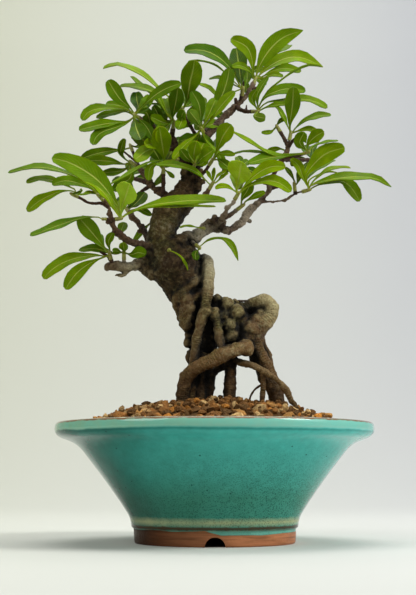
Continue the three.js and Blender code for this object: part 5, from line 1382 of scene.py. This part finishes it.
def pebble_kinds(count, rng):
    """Rough pebbles, each swollen from a divided cube, as points of about radius 1 and faces."""
    kinds = []
    for i in range(count):
        pick()
        bpy.ops.mesh.primitive_cube_add(size=2, location=(0, 0, 0))
        pebble = bpy.context.object
        edit_all()
        bpy.ops.mesh.subdivide(number_cuts=1)
        bpy.ops.transform.tosphere(value=0.7)
        bpy.ops.object.mode_set(mode="OBJECT")
        points = positions(pebble.data)
        points /= np.linalg.norm(points, axis=1).mean()
        shift = Vector((7.3 * i, 3.1, 1.7))
        lumps = np.array([
            noise.noise(Vector(point) * 0.9 + shift) + 0.6 * noise.noise(Vector(point) * 2.3 + shift)
            for point in points])
        points *= (1 + 0.5 * lumps)[:, None]
        for _ in range(PEBBLE_CUTS):
            flat = np.array(Vector([rng.gauss(0, 1) for _ in range(3)]).normalized())
            over = np.maximum(points @ flat - rng.uniform(0.5, 0.8), 0)
            points -= over[:, None] * flat * 0.95
        faces = [tuple(face.vertices) for face in pebble.data.polygons]
        kinds.append((points, np.array(faces)))
        bpy.data.objects.remove(pebble)
    return kinds


def turned(rng):
    """A random turn as a 3 by 3 matrix."""
    quarter = np.array([rng.gauss(0, 1) for _ in range(4)])
    w, x, y, z = quarter / np.linalg.norm(quarter)
    return np.array([
        [1 - 2 * (y * y + z * z), 2 * (x * y - z * w), 2 * (x * z + y * w)],
        [2 * (x * y + z * w), 1 - 2 * (x * x + z * z), 2 * (y * z - x * w)],
        [2 * (x * z - y * w), 2 * (y * z + x * w), 1 - 2 * (x * x + y * y)]])


class BONSAI_OT_soil(bpy.types.Operator):
    """Heaps the granules on the mound of soil"""
    bl_idname = "bonsai.soil"
    bl_label = "Soil"
    bl_options = {"REGISTER", "UNDO"}

    def execute(self, context):
        settings = context.scene.bonsai_soil
        rng = random.Random(settings.seed)
        bed = self.bed()
        granules = self.granules(settings, rng)
        for piece in (bed, granules):
            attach(piece, "root")
            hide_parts("soil")
        return {"FINISHED"}

    def bed(self):
        """The rough bed that shows between the granules."""
        rings = [BED_REACH * i / BED_STEPS for i in range(BED_STEPS, 0, -1)]
        top = [(radius, mound_height(radius) - BED_SINK) for radius in rings]
        middle = (BED_BOTTOM[0], mound_height(0) - BED_SINK)
        bed = spun_profile("soil_bed", [BED_BOTTOM] + BED_SIDE + top + [middle], 90)
        points = positions(bed.data)
        rough = np.array([noise.noise(Vector(point) * BED_FINENESS) for point in points])
        inner = np.linalg.norm(points[:, :2] - placed([0, 0, 0])[:2], axis=1) < MOUND_EDGE * MM
        points[:, 2] += rough * MM * inner * (points[:, 2] > ROUGH_ABOVE * MM)
        place_vertices(bed.data, points)
        dress(bed, soil_finish("Soil bed", False))
        smooth(bed)
        return bed

    def granules(self, settings, rng):
        """The granules, laid along a spiral from the middle of the mound to the wall, as one mesh."""
        kinds = pebble_kinds(PEBBLE_KINDS, rng)
        shades = [colour for colour, share in GRANULES for _ in range(share)]
        whole_points, whole_faces, colours, start = [], [], [], 0
        for i in range(settings.granules):
            on_top = i % TOP_LAYER == TOP_LAYER - 1
            radius = GRANULE_REACH * math.sqrt((i + rng.random()) / settings.granules)
            around = i * GOLDEN_ANGLE + rng.uniform(-0.05, 0.05)
            size = settings.smallest + (settings.largest - settings.smallest) * rng.random() ** 1.7
            size = size / MM * (rng.uniform(0.3, 0.65) if on_top else 1)
            radius = min(radius, WALL_REACH - size * 0.55)
            height = mound_height(radius) - size * rng.uniform(0.08, 0.4) + (size * 0.5 if on_top else 0)
            shape, faces = kinds[rng.randrange(len(kinds))]
            stretch = [rng.uniform(0.8, 1.25), rng.uniform(0.75, 1.1), rng.uniform(0.65, 0.95)]
            turn = rng.uniform(0, 2 * math.pi)
            points = (shape @ turned(rng).T) * (np.array(stretch) * size / 2)
            cos, sin = math.cos(turn), math.sin(turn)
            points = points @ np.array([[cos, -sin, 0], [sin, cos, 0], [0, 0, 1]]).T
            points = points + np.array([radius * math.cos(around), radius * math.sin(around), height])
            whole_points.append(points)
            whole_faces.append(faces + start)
            start += len(points)
            shade = np.array(shades[rng.randrange(len(shades))])
            # Painted light: some granules on the left are drawn paler.
            if points[:, 0].mean() < LIT_LEFT_OF and i % 3 == 0:
                shade = shade * (1 - LIT_SHARE) + np.array(LIT_GRANULE) * LIT_SHARE
            # Granules are darker towards the middle, under the roots: damper soil there, and painted shade.
            dryness_and_shade = 0.66 + 0.75 * (radius / MOUND_EDGE) ** 2
            shade = shade * rng.uniform(0.5, 1.5) * dryness_and_shade
            colours.append(np.tile(np.append(shade, 1.0), (len(points), 1)))
        data = bpy.data.meshes.new("soil_granules")
        data.from_pydata(placed(np.vstack(whole_points)).tolist(), [], np.vstack(whole_faces).tolist())
        point_values(data, "granule", np.vstack(colours))
        granules = linked("soil_granules", data)
        dress(granules, soil_finish("Granules", True))
        smooth(granules, 28)
        return granules


def knobbly(places, radii, rng):
    """A twig's radii with buds' scars and swellings along it."""
    phase = rng.uniform(0, 6)
    scars = np.maximum(0, np.sin(run_of(places) * 2 * math.pi / SCAR_SPACING + phase)) ** 6 * SCAR_HEIGHT
    rough = np.array([rng.uniform(-1, 1) for _ in radii]) * TWIG_ROUGHNESS
    return radii * (1 + scars + rough)


def bark_marks(points):
    """Moss, lichen, darkness and roughness at places in mm, blended from the nearest spots of bark."""
    spots = np.array([at(x, y, depth) for x, y, depth, *_ in BARK_SPOTS])
    reach = np.array([row[3] for row in BARK_SPOTS], dtype=float)
    marks = np.array([row[4:] for row in BARK_SPOTS])
    away = np.linalg.norm(points[:, None, :] - spots[None], axis=2) / reach
    weights = np.exp(-away ** 2) + 1e-4 / (1 + away ** 4)
    return (weights @ marks) / weights.sum(axis=1, keepdims=True)


class BONSAI_OT_wood(bpy.types.Operator):
    """Grows the trunk, branches and roots into one skin of bark and adds the twigs"""
    bl_idname = "bonsai.wood"
    bl_label = "Trunk, roots and twigs"
    bl_options = {"REGISTER", "UNDO"}

    def execute(self, context):
        settings = context.scene.bonsai_wood
        rng = random.Random(settings.seed)
        thick, thin = [], []
        for limb in LIMBS + ROOTS:
            if is_thick(limb):
                thick.append(strand(limb, LIMB_STEP))
            else:
                places, radii = strand(limb, TWIG_STEP)
                thin.append((places, knobbly(places, radii, rng)))
        wood = tubes("wood", thick, 4)
        wood = joined(wood, *self.lumps())
        finish_modifier(wood, "REMESH", mode="VOXEL", voxel_size=settings.grain, use_smooth_shade=True)
        finish_modifier(wood, "SMOOTH", factor=0.5, iterations=4)
        # Crevice depth, for the painted shade in crevices and the painted highlight on crests.
        hollow = hollows(wood.data, BROAD_ROUNDS) * BROAD_WEIGHT
        self.roughen(wood, settings)
        hollow = hollow + hollows(wood.data, FINE_ROUNDS) * FINE_WEIGHT
        # How shut in each point is, for the painted shade between the roots.
        point_values(wood.data, "inner", self.enclosed(wood))
        point_values(wood.data, "hollow", np.clip(smoothed_values(wood.data, hollow, 1), -1, 1.5))
        twigs = tubes("twigs", thin, 3)
        for name in ("inner", "hollow"):
            point_values(twigs.data, name, np.zeros(len(twigs.data.vertices)))
        self.mark_bark(wood, False)
        self.mark_bark(twigs, True)
        wood = joined(wood, twigs)
        dress(wood, bark_finish(settings))
        smooth(wood)
        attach(wood, "root")
        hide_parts("trunk")
        return {"FINISHED"}

    def lumps(self):
        """The wood's lumps, each a ball pressed a little out of round."""
        made = []
        for i, (x, y, depth, radius) in enumerate(LUMPS):
            pick()
            bpy.ops.mesh.primitive_ico_sphere_add(
                subdivisions=3, radius=radius * MM, location=placed(at(x, y, depth)),
                rotation=(i, 2 * i, 0), scale=(1, 0.9, 1.12))
            made.append(bpy.context.object)
        return made

    def roughen(self, wood, settings):
        """Swells, knobs and cracks, pressed into the bark where it is rough."""
        mesh = wood.data
        points = positions(mesh)
        normals = normals_of(mesh)
        rough = bark_marks(points / MM - AXIS)[:, 3]
        raised = np.empty(len(points))
        for i, point in enumerate(points):
            place = Vector(point)
            swell = noise.noise(place * SWELL_FINENESS) * settings.swell
            knob = max(0.0, noise.noise(place * KNOB_FINENESS) - KNOB_FROM)
            knob = knob * settings.knobs * (0.18 + rough[i])
            crack = max(0.0, CRACK_UNDER - abs(noise.noise(place * CRACK_FINENESS)))
            crack = crack * settings.cracks * rough[i] * 4
            lump = noise.noise(place * LUMP_FINENESS) * settings.lumps * (0.32 + rough[i])
            raised[i] = swell + knob + lump - crack
        place_vertices(mesh, points + normals * raised[:, None])

    def enclosed(self, wood):
        """How far the wood shuts each point in, from 0 in the open to 1 and more between the roots."""
        mesh = wood.data
        points = positions(mesh)
        tree = BVHTree.FromPolygons(points.tolist(), [face.vertices for face in mesh.polygons])
        ways = []
        for i in range(WAYS_ROUND):
            up = 1 - 2 * (i + 0.5) / WAYS_ROUND
            flat = math.sqrt(1 - up * up)
            ways.append(Vector((flat * math.cos(i * GOLDEN_ANGLE), flat * math.sin(i * GOLDEN_ANGLE), up)))
        shut = np.zeros(len(points))
        for i, normal in enumerate(map(Vector, normals_of(mesh))):
            start = Vector(points[i]) + normal * WAY_START * MM
            for way in ways:
                if way.dot(normal) > 0.1 and tree.ray_cast(start, way, WAY_REACH * MM)[0]:
                    shut[i] += 1
        return smoothed_values(mesh, shut / SHUT_WAYS, 3)

    def mark_bark(self, obj, young):
        """Writes moss, lichen, darkness, the way along the limb and how twiggy it is to the points."""
        mesh = obj.data
        points = positions(mesh) / MM - AXIS
        growth = bark_marks(points)[:, :3]
        point_values(mesh, "growth", np.hstack([growth, np.ones((len(growth), 1))]))
        samples, gone, girth = [], [], []
        for limb in LIMBS + ROOTS:
            if young or is_thick(limb):
                places, radii = strand(limb, 1.0, False)
                samples.append(places)
                gone.append(run_of(places))
                girth.append(radii)
        samples, gone, girth = np.vstack(samples), np.concatenate(gone), np.concatenate(girth)
        nearest = np.empty(len(points), dtype=int)
        for first in range(0, len(points), POINTS_AT_ONCE):
            some = points[first:first + POINTS_AT_ONCE]
            away = (some ** 2).sum(1)[:, None] + (samples ** 2).sum(1)[None] - 2 * some @ samples.T
            nearest[first:first + POINTS_AT_ONCE] = np.argmin(away / girth[None] ** 2, axis=1)
        point_values(mesh, "along", gone[nearest])
        height = points[:, 2]
        slim = np.clip((SLIM_RADIUS - girth[nearest]) / SLIM_FADE, 0, 1)
        above = np.clip((height - SLIM_ABOVE) / SLIM_RISE, 0, 1)
        twig = height > TWIGS_ABOVE if young else smoothed_values(mesh, slim * above, 6)
        point_values(mesh, "twig", twig)


def limb_named(name):
    """The limb that ends in a spray's bud."""
    return next(limb for limb in LIMBS if limb[0] == name)


def between(limits, draw):
    """A draw between two limits."""
    return limits[0] + (limits[1] - limits[0]) * draw()


def with_twins(name, blades):
    """A broad blade has a shorter one behind it."""
    draw = draws_from(len(name) * 131 + 5)
    whole = list(blades)
    foot = limb_named(name)[2][-1]
    for _, width, way, *_ in blades:
        if width >= TWIN_PIXELS:
            scale = between(TWIN_SCALE, draw)
            shorter = [[foot[0] + scale * (x - foot[0]), foot[1] + scale * (y - foot[1])] for x, y in way]
            whole.append([between(TWIN_REACH, draw), width * scale, shorter])
    return whole


def back_blades(name, number):
    """Blades all round the bud of a spray at the back of the crown."""
    draw = draws_from(500 + number)
    x, y = limb_named(name)[2][-1][:2]
    blades = []
    for i in range(BACK_BLADES):
        turn = 2 * math.pi * (i + 0.6 * draw()) / BACK_BLADES
        wide = between(BACK_SPREAD, draw)
        across, down = wide * math.cos(turn), 0.8 * wide * math.sin(turn)
        way = [[x + 0.5 * across, y + 0.5 * down - 3], [x + across, y + down]]
        blades.append([between(BACK_REACH, draw), between(BACK_WIDTH, draw), way])
    return blades


def blade_way(foot, blade, bow, lean):
    """A blade's way from its foot over its spots in the picture, bowed and leaning in depth, in mm."""
    told, seen, way = blade[:3]
    spots = np.vstack([spot(foot), way])
    gone = run_of(spots)
    shown = PIXEL * gone[-1]
    whole = PIXEL * seen / PLUMPEST_RATIO
    needed = math.sqrt(max(0, whole ** 2 - shown ** 2))
    reach = math.copysign(1, told or 1) * max(abs(told), needed)
    points = [foot]
    for place, far in zip(spots[1:], gone[1:]):
        share = far / gone[-1]
        depth = -foot[1] + (reach + lean) * share + bow * math.sin(math.pi * share)
        points.append(at(place[0], place[1], depth))
    return Way(points)


def facing_of(way, trim, blade, width):
    """The way a blade faces, turned about its length until it shows its width in the picture."""
    middle = way.places([0.55 * trim])[0]
    tangent = way.headings([0.55 * trim])[0]
    up = np.array([-0.35 if tangent[0] > 0 else 0.35, 0, 1])
    viewer = np.array([0, 1 if len(blade) > 3 else -1, 0])
    here = spot(middle)
    along = unit(spot(middle + 0.1 * tangent) - here)
    best, best_miss = None, math.inf
    for degrees in range(0, 95, 5):
        turn = math.radians(degrees)
        facing = up * math.cos(turn) + viewer * math.sin(turn)
        across = np.cross(tangent, square_to(tangent, facing))
        step = (spot(middle + 0.1 * across) - here) * 10
        shown = abs(along[0] * step[1] - along[1] * step[0]) * width
        if abs(shown - blade[1]) < best_miss - 1e-9:
            best, best_miss = facing, abs(shown - blade[1])
    return best


def settled(foot, blade, solid):
    """The way that the frame's solid took for this blade: its trim, curve, facing and width."""
    straight = blade_way(foot, blade, 0, 0).length
    width = max(blade[1] * PIXEL, BLADE_RATIO * straight)
    rings = LONG_RINGS if straight > LONG_BLADE else SHORT_RINGS
    rings = NARROW_RINGS if blade[1] < NARROW_PIXELS else rings
    best, best_miss = None, math.inf
    for trim in TRIMS:
        for bow in BOWS:
            for lean in LEANS:
                way = blade_way(foot, blade, bow, lean)
                miss = solid.find(way.places([trim])[0])[2]
                if miss > min(1.0, best_miss):
                    continue
                facing = facing_of(way, trim, blade, width)
                for share in rings:
                    tangent = way.headings([share * trim])[0]
                    under = way.places([share * trim])[0] - PLAIN_THICK * square_to(tangent, facing)
                    miss += solid.find(under)[2]
                if miss < best_miss:
                    best, best_miss = (trim, way, facing, width), miss
                if best_miss < NEAR_ENOUGH:
                    return best
    if best is None:
        way = blade_way(foot, blade, 0, 0)
        best = (1, way, facing_of(way, 1, blade, width), width)
    return best


def half_width(share, width, shape):
    """Half the width of a blade: a narrow stalk, then a long oval, blunt or sharp at its tip."""
    swell = np.clip((share - 0.1) / 0.9, 0, 1)
    tip = 0.05 if shape < SHARP else 0.5
    oval = np.maximum(np.sin(math.pi * swell ** shape), 0) ** (0.85 - tip * swell ** 3)
    stalk = np.where(share > 0.9, 0.12, 0.42)
    return np.maximum(stalk, width / 2 * oval)


class BONSAI_OT_leaves(bpy.types.Operator):
    """Hangs each spray's leaves and its shoot where the frame has them"""
    bl_idname = "bonsai.leaves"
    bl_label = "Leaves"
    bl_options = {"REGISTER", "UNDO"}

    def execute(self, context):
        settings = context.scene.bonsai_leaves
        above = leaf_finish("Leaf above", settings, False)
        below = leaf_finish("Leaf below", settings, True)
        shoot = bud_finish(settings)
        pick()
        bpy.ops.mesh.primitive_grid_add(x_subdivisions=6, y_subdivisions=15, size=1, location=(0, 0, 0))
        blank = context.object
        rng = random.Random(settings.seed)
        sprays = [(name, with_twins(name, blades), TONES[name]) for name, blades in SPRAYS]
        sprays += [(name, back_blades(name, i), BACK_TONE) for i, name in enumerate(BACK_SPRAYS)]
        for name, blades, tone in sprays:
            node_name = "leaves_" + name
            solid = self.corners_of(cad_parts[node_name])
            path = limb_named(name)[2]
            last, before = at(*path[-1][:3]), at(*path[-2][:3])
            heading = unit(last - before)
            length = SHOOT_LENGTH if len(blades) > 1 else SHOOT_SINGLE
            start = last + heading * SHOOT_START
            made = []
            extra = MORE_BLADES.get(name, [])
            for number, blade in enumerate(blades + extra):
                share = (number + 0.5) / len(blades)
                foot = start + heading * length * (0.3 + 0.6 * min(share, 1))
                if number >= len(blades):
                    way, width = blade_way(foot, blade, 0, 0), blade[1] * PIXEL
                    trim, facing = 1, facing_of(way, 1, blade, width)
                else:
                    trim, way, facing, width = settled(foot, blade, solid)
                behind = blade[0] <= FAR_BACK or number >= len(blades)
                shade = tone + rng.uniform(-SHADE_SPREAD, SHADE_SPREAD) - (BEHIND_DARKER if behind else 0)
                shade = SHADES.get((name, number), shade)
                if number >= len(blades) and len(blade) > 3:
                    shade = blade[3]
                width = min(width, FULLEST * PIXEL * blade[1] + SPARE_WIDTH)
                width = PIXEL * TOLD_WIDTHS.get((name, number), width / PIXEL)
                shape = SHAPES.get((name, number), USUAL_SHAPE)
                made.append(self.leaf(blank, way, trim, facing, width, shape, shade, rng, settings))
            leaves = joined(*made)
            dress(leaves, above, below, shoot)
            finish_modifier(leaves, "SOLIDIFY", thickness=settings.thickness, offset=-1,
                            material_offset=1, use_even_offset=False)
            stem = self.shoot_piece(start, heading, length, min(path[-1][3], 1.3), len(blades) > 1)
            dress(stem, above, below, shoot)
            stem.data.polygons.foreach_set("material_index", [2] * len(stem.data.polygons))
            leaves = joined(leaves, stem)
            leaves.name = "leafy_" + name
            leaves.data.name = leaves.name
            smooth(leaves, 60)
            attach(leaves, "root")
            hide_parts(node_name)
        bpy.data.objects.remove(blank)
        return {"FINISHED"}

    def corners_of(self, solid):
        """A solid's corners in mm from the pot's axis, ready to find the nearest."""
        points = positions(solid.data) / MM - AXIS
        tree = kdtree.KDTree(len(points))
        for i, point in enumerate(points):
            tree.insert(point, i)
        tree.balance()
        return tree

    def leaf(self, blank, way, trim, facing, width, shape, tone, rng, settings):
        """One leaf: the flat blank laid along its way, folded at its midrib and a little wavy."""
        leaf = blank.copy()
        leaf.data = blank.data.copy()
        bpy.context.scene.collection.objects.link(leaf)
        flat = positions(leaf.data)
        across = flat[:, 0] * 2
        share = flat[:, 1] + 0.5
        past = (share - TIP_FROM) / TIP_SHARE
        share = np.where(share > TIP_FROM, TIP_FROM + TIP_SHARE * np.sin(past * math.pi / 2), share)
        middle = way.places(share * trim)
        tangent = way.headings(share * trim)
        normal = facing - tangent * (tangent @ facing)[:, None]
        normal /= np.linalg.norm(normal, axis=1, keepdims=True)
        sideways = np.cross(tangent, normal)
        half = half_width(share, width, shape)
        right, left = rng.uniform(0, 6.3), rng.uniform(0, 6.3)
        wave = np.sin(share * WAVES + np.where(across > 0, right, left))
        waves = settings.waviness / MM * np.abs(across) ** 2 * wave * np.minimum(half / 4, 1)
        fold = -0.1 + settings.fold * half * np.abs(across) ** 1.4 - 0.12 * np.exp(-(across / 0.12) ** 2)
        points = middle + sideways * (across * half)[:, None] + normal * (fold + waves)[:, None]
        place_vertices(leaf.data, placed(points))
        point_values(leaf.data, "tone", np.full(len(points), tone))
        point_values(leaf.data, "cool", np.full(len(points), rng.random() ** 3))
        return leaf

    def shoot_piece(self, start, heading, length, thick, swollen):
        """The short green shoot that carries a spray's leaves."""
        shares = np.linspace(-0.15, 1, 9)
        places = start + heading * (length * shares)[:, None]
        middle = 1.2 if swollen else 0.9
        radii = np.interp(shares, [-0.15, 0, 0.35, 0.75, 0.95, 1], [thick, thick, middle, 1.1, 0.8, 0.3])
        return tubes("shoot", [(places, radii)], 2)


class BONSAI_OT_stage(bpy.types.Operator):
    """Lays the pale floor, hangs the soft lamps and stands the camera where the picture was taken"""
    bl_idname = "bonsai.stage"
    bl_label = "Stage"
    bl_options = {"REGISTER", "UNDO"}

    def execute(self, context):
        settings = context.scene.bonsai_stage
        scene = context.scene
        pick()
        bpy.ops.mesh.primitive_plane_add(size=1, location=(0, 0, 0))
        floor = context.object
        floor.name = "pale_floor"
        edit_all()
        bpy.ops.transform.resize(value=PAPER_SIZE)
        bpy.ops.mesh.select_all(action="DESELECT")
        bpy.ops.object.mode_set(mode="OBJECT")
        back = max(vertex.co.y for vertex in floor.data.vertices)
        for edge in floor.data.edges:
            edge.select = all(floor.data.vertices[i].co.y > back - 1e-4 for i in edge.vertices)
        bpy.ops.object.mode_set(mode="EDIT")
        bpy.ops.mesh.select_mode(type="EDGE")
        bpy.ops.mesh.extrude_region_move(TRANSFORM_OT_translate={"value": (0, 0, PAPER_BACK)})
        bpy.ops.mesh.select_all(action="SELECT")
        bpy.ops.mesh.normals_make_consistent(inside=False)
        bpy.ops.object.mode_set(mode="OBJECT")
        finish_modifier(floor, "BEVEL", width=PAPER_BEND, segments=24, limit_method="ANGLE")
        smooth(floor)
        material, tree, shader, here = new_material("Paper", roughness=0.9, specular_ior_level=0.2)
        side = node(tree, "ShaderNodeSeparateXYZ", {"Vector": here})
        tint = blend(spread(side.outputs["X"], -0.5, 0.5), settings.left, settings.right)
        tint = blend(spread(side.outputs["Z"], 0, 1.05, 0.22, 0.0), tint, (0.0, 0.0, 0.0, 1.0))
        tree.links.new(tint, shader.inputs["Base Color"])
        raise_bump(tree, shader, grained(here, 900.0), 0.0001)
        dress(floor, material)

        world = scene.world or bpy.data.worlds.new("Studio air")
        scene.world = world
        world.use_nodes = True
        air = world.node_tree.nodes["Background"]
        air.inputs["Color"].default_value = AIR_COLOUR
        air.inputs["Strength"].default_value = settings.air
        for name, (place, aim, width, height) in LAMPS.items():
            self.lamp("lamp_" + name, place, aim, width, height, getattr(settings, name + "_power"))

        data = bpy.data.cameras.new("picture_camera")
        data.lens = settings.lens
        data.clip_start = 0.05
        data.clip_end = 20
        camera = linked("picture_camera", data)
        camera.location = placed([EYE_ASIDE, -EYE_DISTANCE, EYE_HEIGHT])
        camera.rotation_euler = (math.pi / 2 + EYE_TILT, 0, 0)
        scene.camera = camera
        scene.view_settings.view_transform = "Standard"
        return {"FINISHED"}

    def lamp(self, name, place, aim, width, height, power):
        """A round lamp, or a long one when its height is given."""
        data = bpy.data.lights.new(name, "AREA")
        data.shape = "RECTANGLE" if height else "DISK"
        data.size = width
        data.size_y = height or width
        data.energy = power
        lamp = linked(name, data)
        lamp.location = place
        lamp.rotation_euler = (Vector(aim) - Vector(place)).to_track_quat("-Z", "Y").to_euler()


def swatch(name, description, colour):
    return bpy.props.FloatVectorProperty(
        name=name, description=description, subtype="COLOR", size=4, min=0, max=1, default=colour)


def span(name, description, value, low=0.0, high=1.0):
    return bpy.props.FloatProperty(
        name=name, description=description, default=value, min=low, max=high, unit="LENGTH", precision=5)


def count(name, description, value):
    return bpy.props.IntProperty(name=name, description=description, default=value, min=24)


def seed(description, value):
    return bpy.props.IntProperty(name="Seed", description=description, default=value)


def power(name, description, value):
    return bpy.props.FloatProperty(name=name, description=description, default=value, min=0, unit="POWER")


class BonsaiPot(bpy.types.PropertyGroup):
    steps: count("Steps", "Steps of the pot round its axis", 144)
    unevenness: span("Unevenness", "How far the hand-turned wall wanders", 0.00035, 0, 0.002)
    body: swatch("Glaze", "Glaze of the wall", colour_of(84, 190, 177))
    body_high: swatch("Glaze near the rim", "Glaze just under the rim", colour_of(82, 200, 190))
    body_low: swatch("Glaze near the foot", "Glaze low on the wall", colour_of(76, 156, 132))
    # Darker glaze, which also paints the shade on the pot's left side.
    deep_glaze_and_shade: swatch("Deep glaze", "Darker glaze where it has pooled", colour_of(0, 62, 46))
    rim: swatch("Rim, left", "Pale glaze of the rim", colour_of(124, 170, 138))
    # Pale glaze, which also paints the light on the rim's right side.
    pale_glaze_and_lit_rim: swatch("Rim, right", "Pale glaze of the rim", colour_of(124, 190, 172))
    rim_line: swatch("Rim line", "Clay showing through on the lip", colour_of(120, 94, 68))
    groove: swatch("Groove", "Brown glaze in the groove over the foot", colour_of(70, 48, 28))
    cream: swatch("Lip", "Thin cream glaze on the lip", colour_of(196, 196, 160))
    band: swatch("Pale band", "Thin olive cream glaze over the groove", colour_of(180, 184, 136))
    speck: swatch("Specks", "Iron specks in the glaze", colour_of(8, 52, 46))
    clay: swatch("Clay", "Bare clay of the foot", colour_of(190, 124, 84))
    # Darker clay, which also paints the shade on the foot's left side.
    clay_dark_and_shade: swatch("Dark clay", "Darker clay", colour_of(56, 30, 10))


class BonsaiSoil(bpy.types.PropertyGroup):
    granules: count("Granules", "How many granules lie on the bed", 860)
    smallest: span("Smallest", "Width of the smallest granule", 0.005, 0.001, 0.02)
    largest: span("Largest", "Width of the largest granule", 0.0108, 0.001, 0.02)
    seed: seed("Another number lays them otherwise", 11)


class BonsaiWood(bpy.types.PropertyGroup):
    grain: span("Grain", "Spacing of the points in the bark's skin", 0.00074, 0.0003, 0.003)
    swell: span("Swells", "Height of the broad swellings", 0.0011, 0, 0.005)
    knobs: span("Knobs", "Height of the knobs", 0.0022, 0, 0.005)
    cracks: span("Cracks", "Depth of the cracks", 0.0011, 0, 0.005)
    lumps: span("Lumps", "Height of the small lumps", 0.00045, 0, 0.003)
    seed: seed("Another number roughens the twigs otherwise", 4)
    brown: swatch("Bark", "Bark of the roots", colour_of(92, 63, 33))
    # Paler bark, which also paints the highlight on the crests.
    pale_bark_and_highlight: swatch("Pale bark", "Paler bark of the roots", colour_of(142, 107, 58))
    brown_dark: swatch("Dark bark", "Bark in the shade and near the soil", colour_of(13, 9, 3))
    moss: swatch("Moss", "Olive moss on the old bark", colour_of(112, 108, 26))
    moss_dark: swatch("Dark moss", "Darker moss", colour_of(36, 38, 4))
    lichen: swatch("Lichen", "Grey lichen", colour_of(200, 192, 142))
    lichen_high: swatch("High lichen", "Grey lichen on the limbs", colour_of(204, 196, 172))
    # This colour paints the shade in the crevices and between the roots.
    crevice: swatch("Crevices", "Dirt in the crevices", colour_of(8, 6, 3))
    twig: swatch("Twigs", "Bark of the twigs", colour_of(92, 62, 44))
    twig_dark: swatch("Dark twigs", "Darker bark of the twigs", colour_of(38, 24, 16))


class BonsaiLeaves(bpy.types.PropertyGroup):
    thickness: span("Thickness", "Thickness of a blade", 0.00045, 0.0001, 0.002)
    waviness: span("Waviness", "How far a blade's edges wave", 0.0005, 0, 0.004)
    fold: bpy.props.FloatProperty(name="Fold", description="Rise of the edges over the midrib", default=0.2)
    seed: seed("Another number shades the leaves otherwise", 3)
    # These greens, from old and dark to new and lit, also paint the light and shade each leaf stands in.
    bright: swatch("Young leaf", "Leaf in full light", colour_of(130, 158, 2))
    lit: swatch("Newest leaf", "Newest and palest leaf", colour_of(178, 216, 48))
    middle: swatch("Leaf", "Leaf of middle age", colour_of(88, 118, 0))
    dark: swatch("Old leaf", "Old dark leaf", colour_of(42, 70, 0))
    cool: swatch("Cool leaf", "Leaf with a bloom of blue", colour_of(62, 108, 22))
    under: swatch("Underside", "Dull underside", colour_of(110, 136, 46))
    vein: swatch("Midrib", "Midrib and veins", colour_of(196, 204, 100))
    stalk: swatch("Stalk", "Stalk and young shoot", colour_of(150, 160, 52))
    shoot: swatch("Bud scales", "Brown scales on a shoot", colour_of(104, 84, 38))


class BonsaiStage(bpy.types.PropertyGroup):
    left: swatch("Left", "Paper on the left", colour_of(228, 230, 210))
    right: swatch("Right", "Paper on the right", colour_of(220, 222, 224))
    air: bpy.props.FloatProperty(name="Air", description="Light from all round", default=0.17, min=0)
    left_power: power("Left lamp", "Power of the lamp", 5.5)
    right_power: power("Right lamp", "Power of the lamp", 1.5)
    above_power: power("Lamp above", "Power of the lamp", 8)
    glint_power: power("Glint", "Power of the small bright lamp", 8.5)
    paper_power: power("Paper lamp", "Power of the lamp", 14)
    lens: bpy.props.FloatProperty(
        name="Lens", description="Focal length of the camera", default=71.58, subtype="DISTANCE_CAMERA")


OPERATORS = (
    BONSAI_OT_pot, BONSAI_OT_screen, BONSAI_OT_soil, BONSAI_OT_wood, BONSAI_OT_leaves, BONSAI_OT_stage,
)
GROUPS = {
    "bonsai_pot": BonsaiPot, "bonsai_soil": BonsaiSoil, "bonsai_wood": BonsaiWood,
    "bonsai_leaves": BonsaiLeaves, "bonsai_stage": BonsaiStage,
}


class BONSAI_PT_panel(bpy.types.Panel):
    """Lists the pieces and what can be changed on them"""
    bl_idname = "BONSAI_PT_panel"
    bl_label = "Firethorn bonsai"
    bl_space_type = "VIEW_3D"
    bl_region_type = "UI"
    bl_category = "Bonsai"

    def draw(self, context):
        for operator in OPERATORS:
            self.layout.operator(operator.bl_idname)
        for name in GROUPS:
            box = self.layout.box()
            settings = getattr(context.scene, name)
            for key in settings.__annotations__:
                box.prop(settings, key)


def register():
    for group in GROUPS.values():
        bpy.utils.register_class(group)
    for operator in OPERATORS:
        bpy.utils.register_class(operator)
    bpy.utils.register_class(BONSAI_PT_panel)
    for name, group in GROUPS.items():
        setattr(bpy.types.Scene, name, bpy.props.PointerProperty(type=group))


def unregister():
    for name in GROUPS:
        delattr(bpy.types.Scene, name)
    bpy.utils.unregister_class(BONSAI_PT_panel)
    for operator in reversed(OPERATORS):
        bpy.utils.unregister_class(operator)
    for group in reversed(GROUPS.values()):
        bpy.utils.unregister_class(group)


def main():
    register()
    for step in (bpy.ops.bonsai.pot, bpy.ops.bonsai.screen, bpy.ops.bonsai.soil, bpy.ops.bonsai.wood,
                 bpy.ops.bonsai.leaves, bpy.ops.bonsai.stage):
        step()


if __name__ == "__main__":
    main()
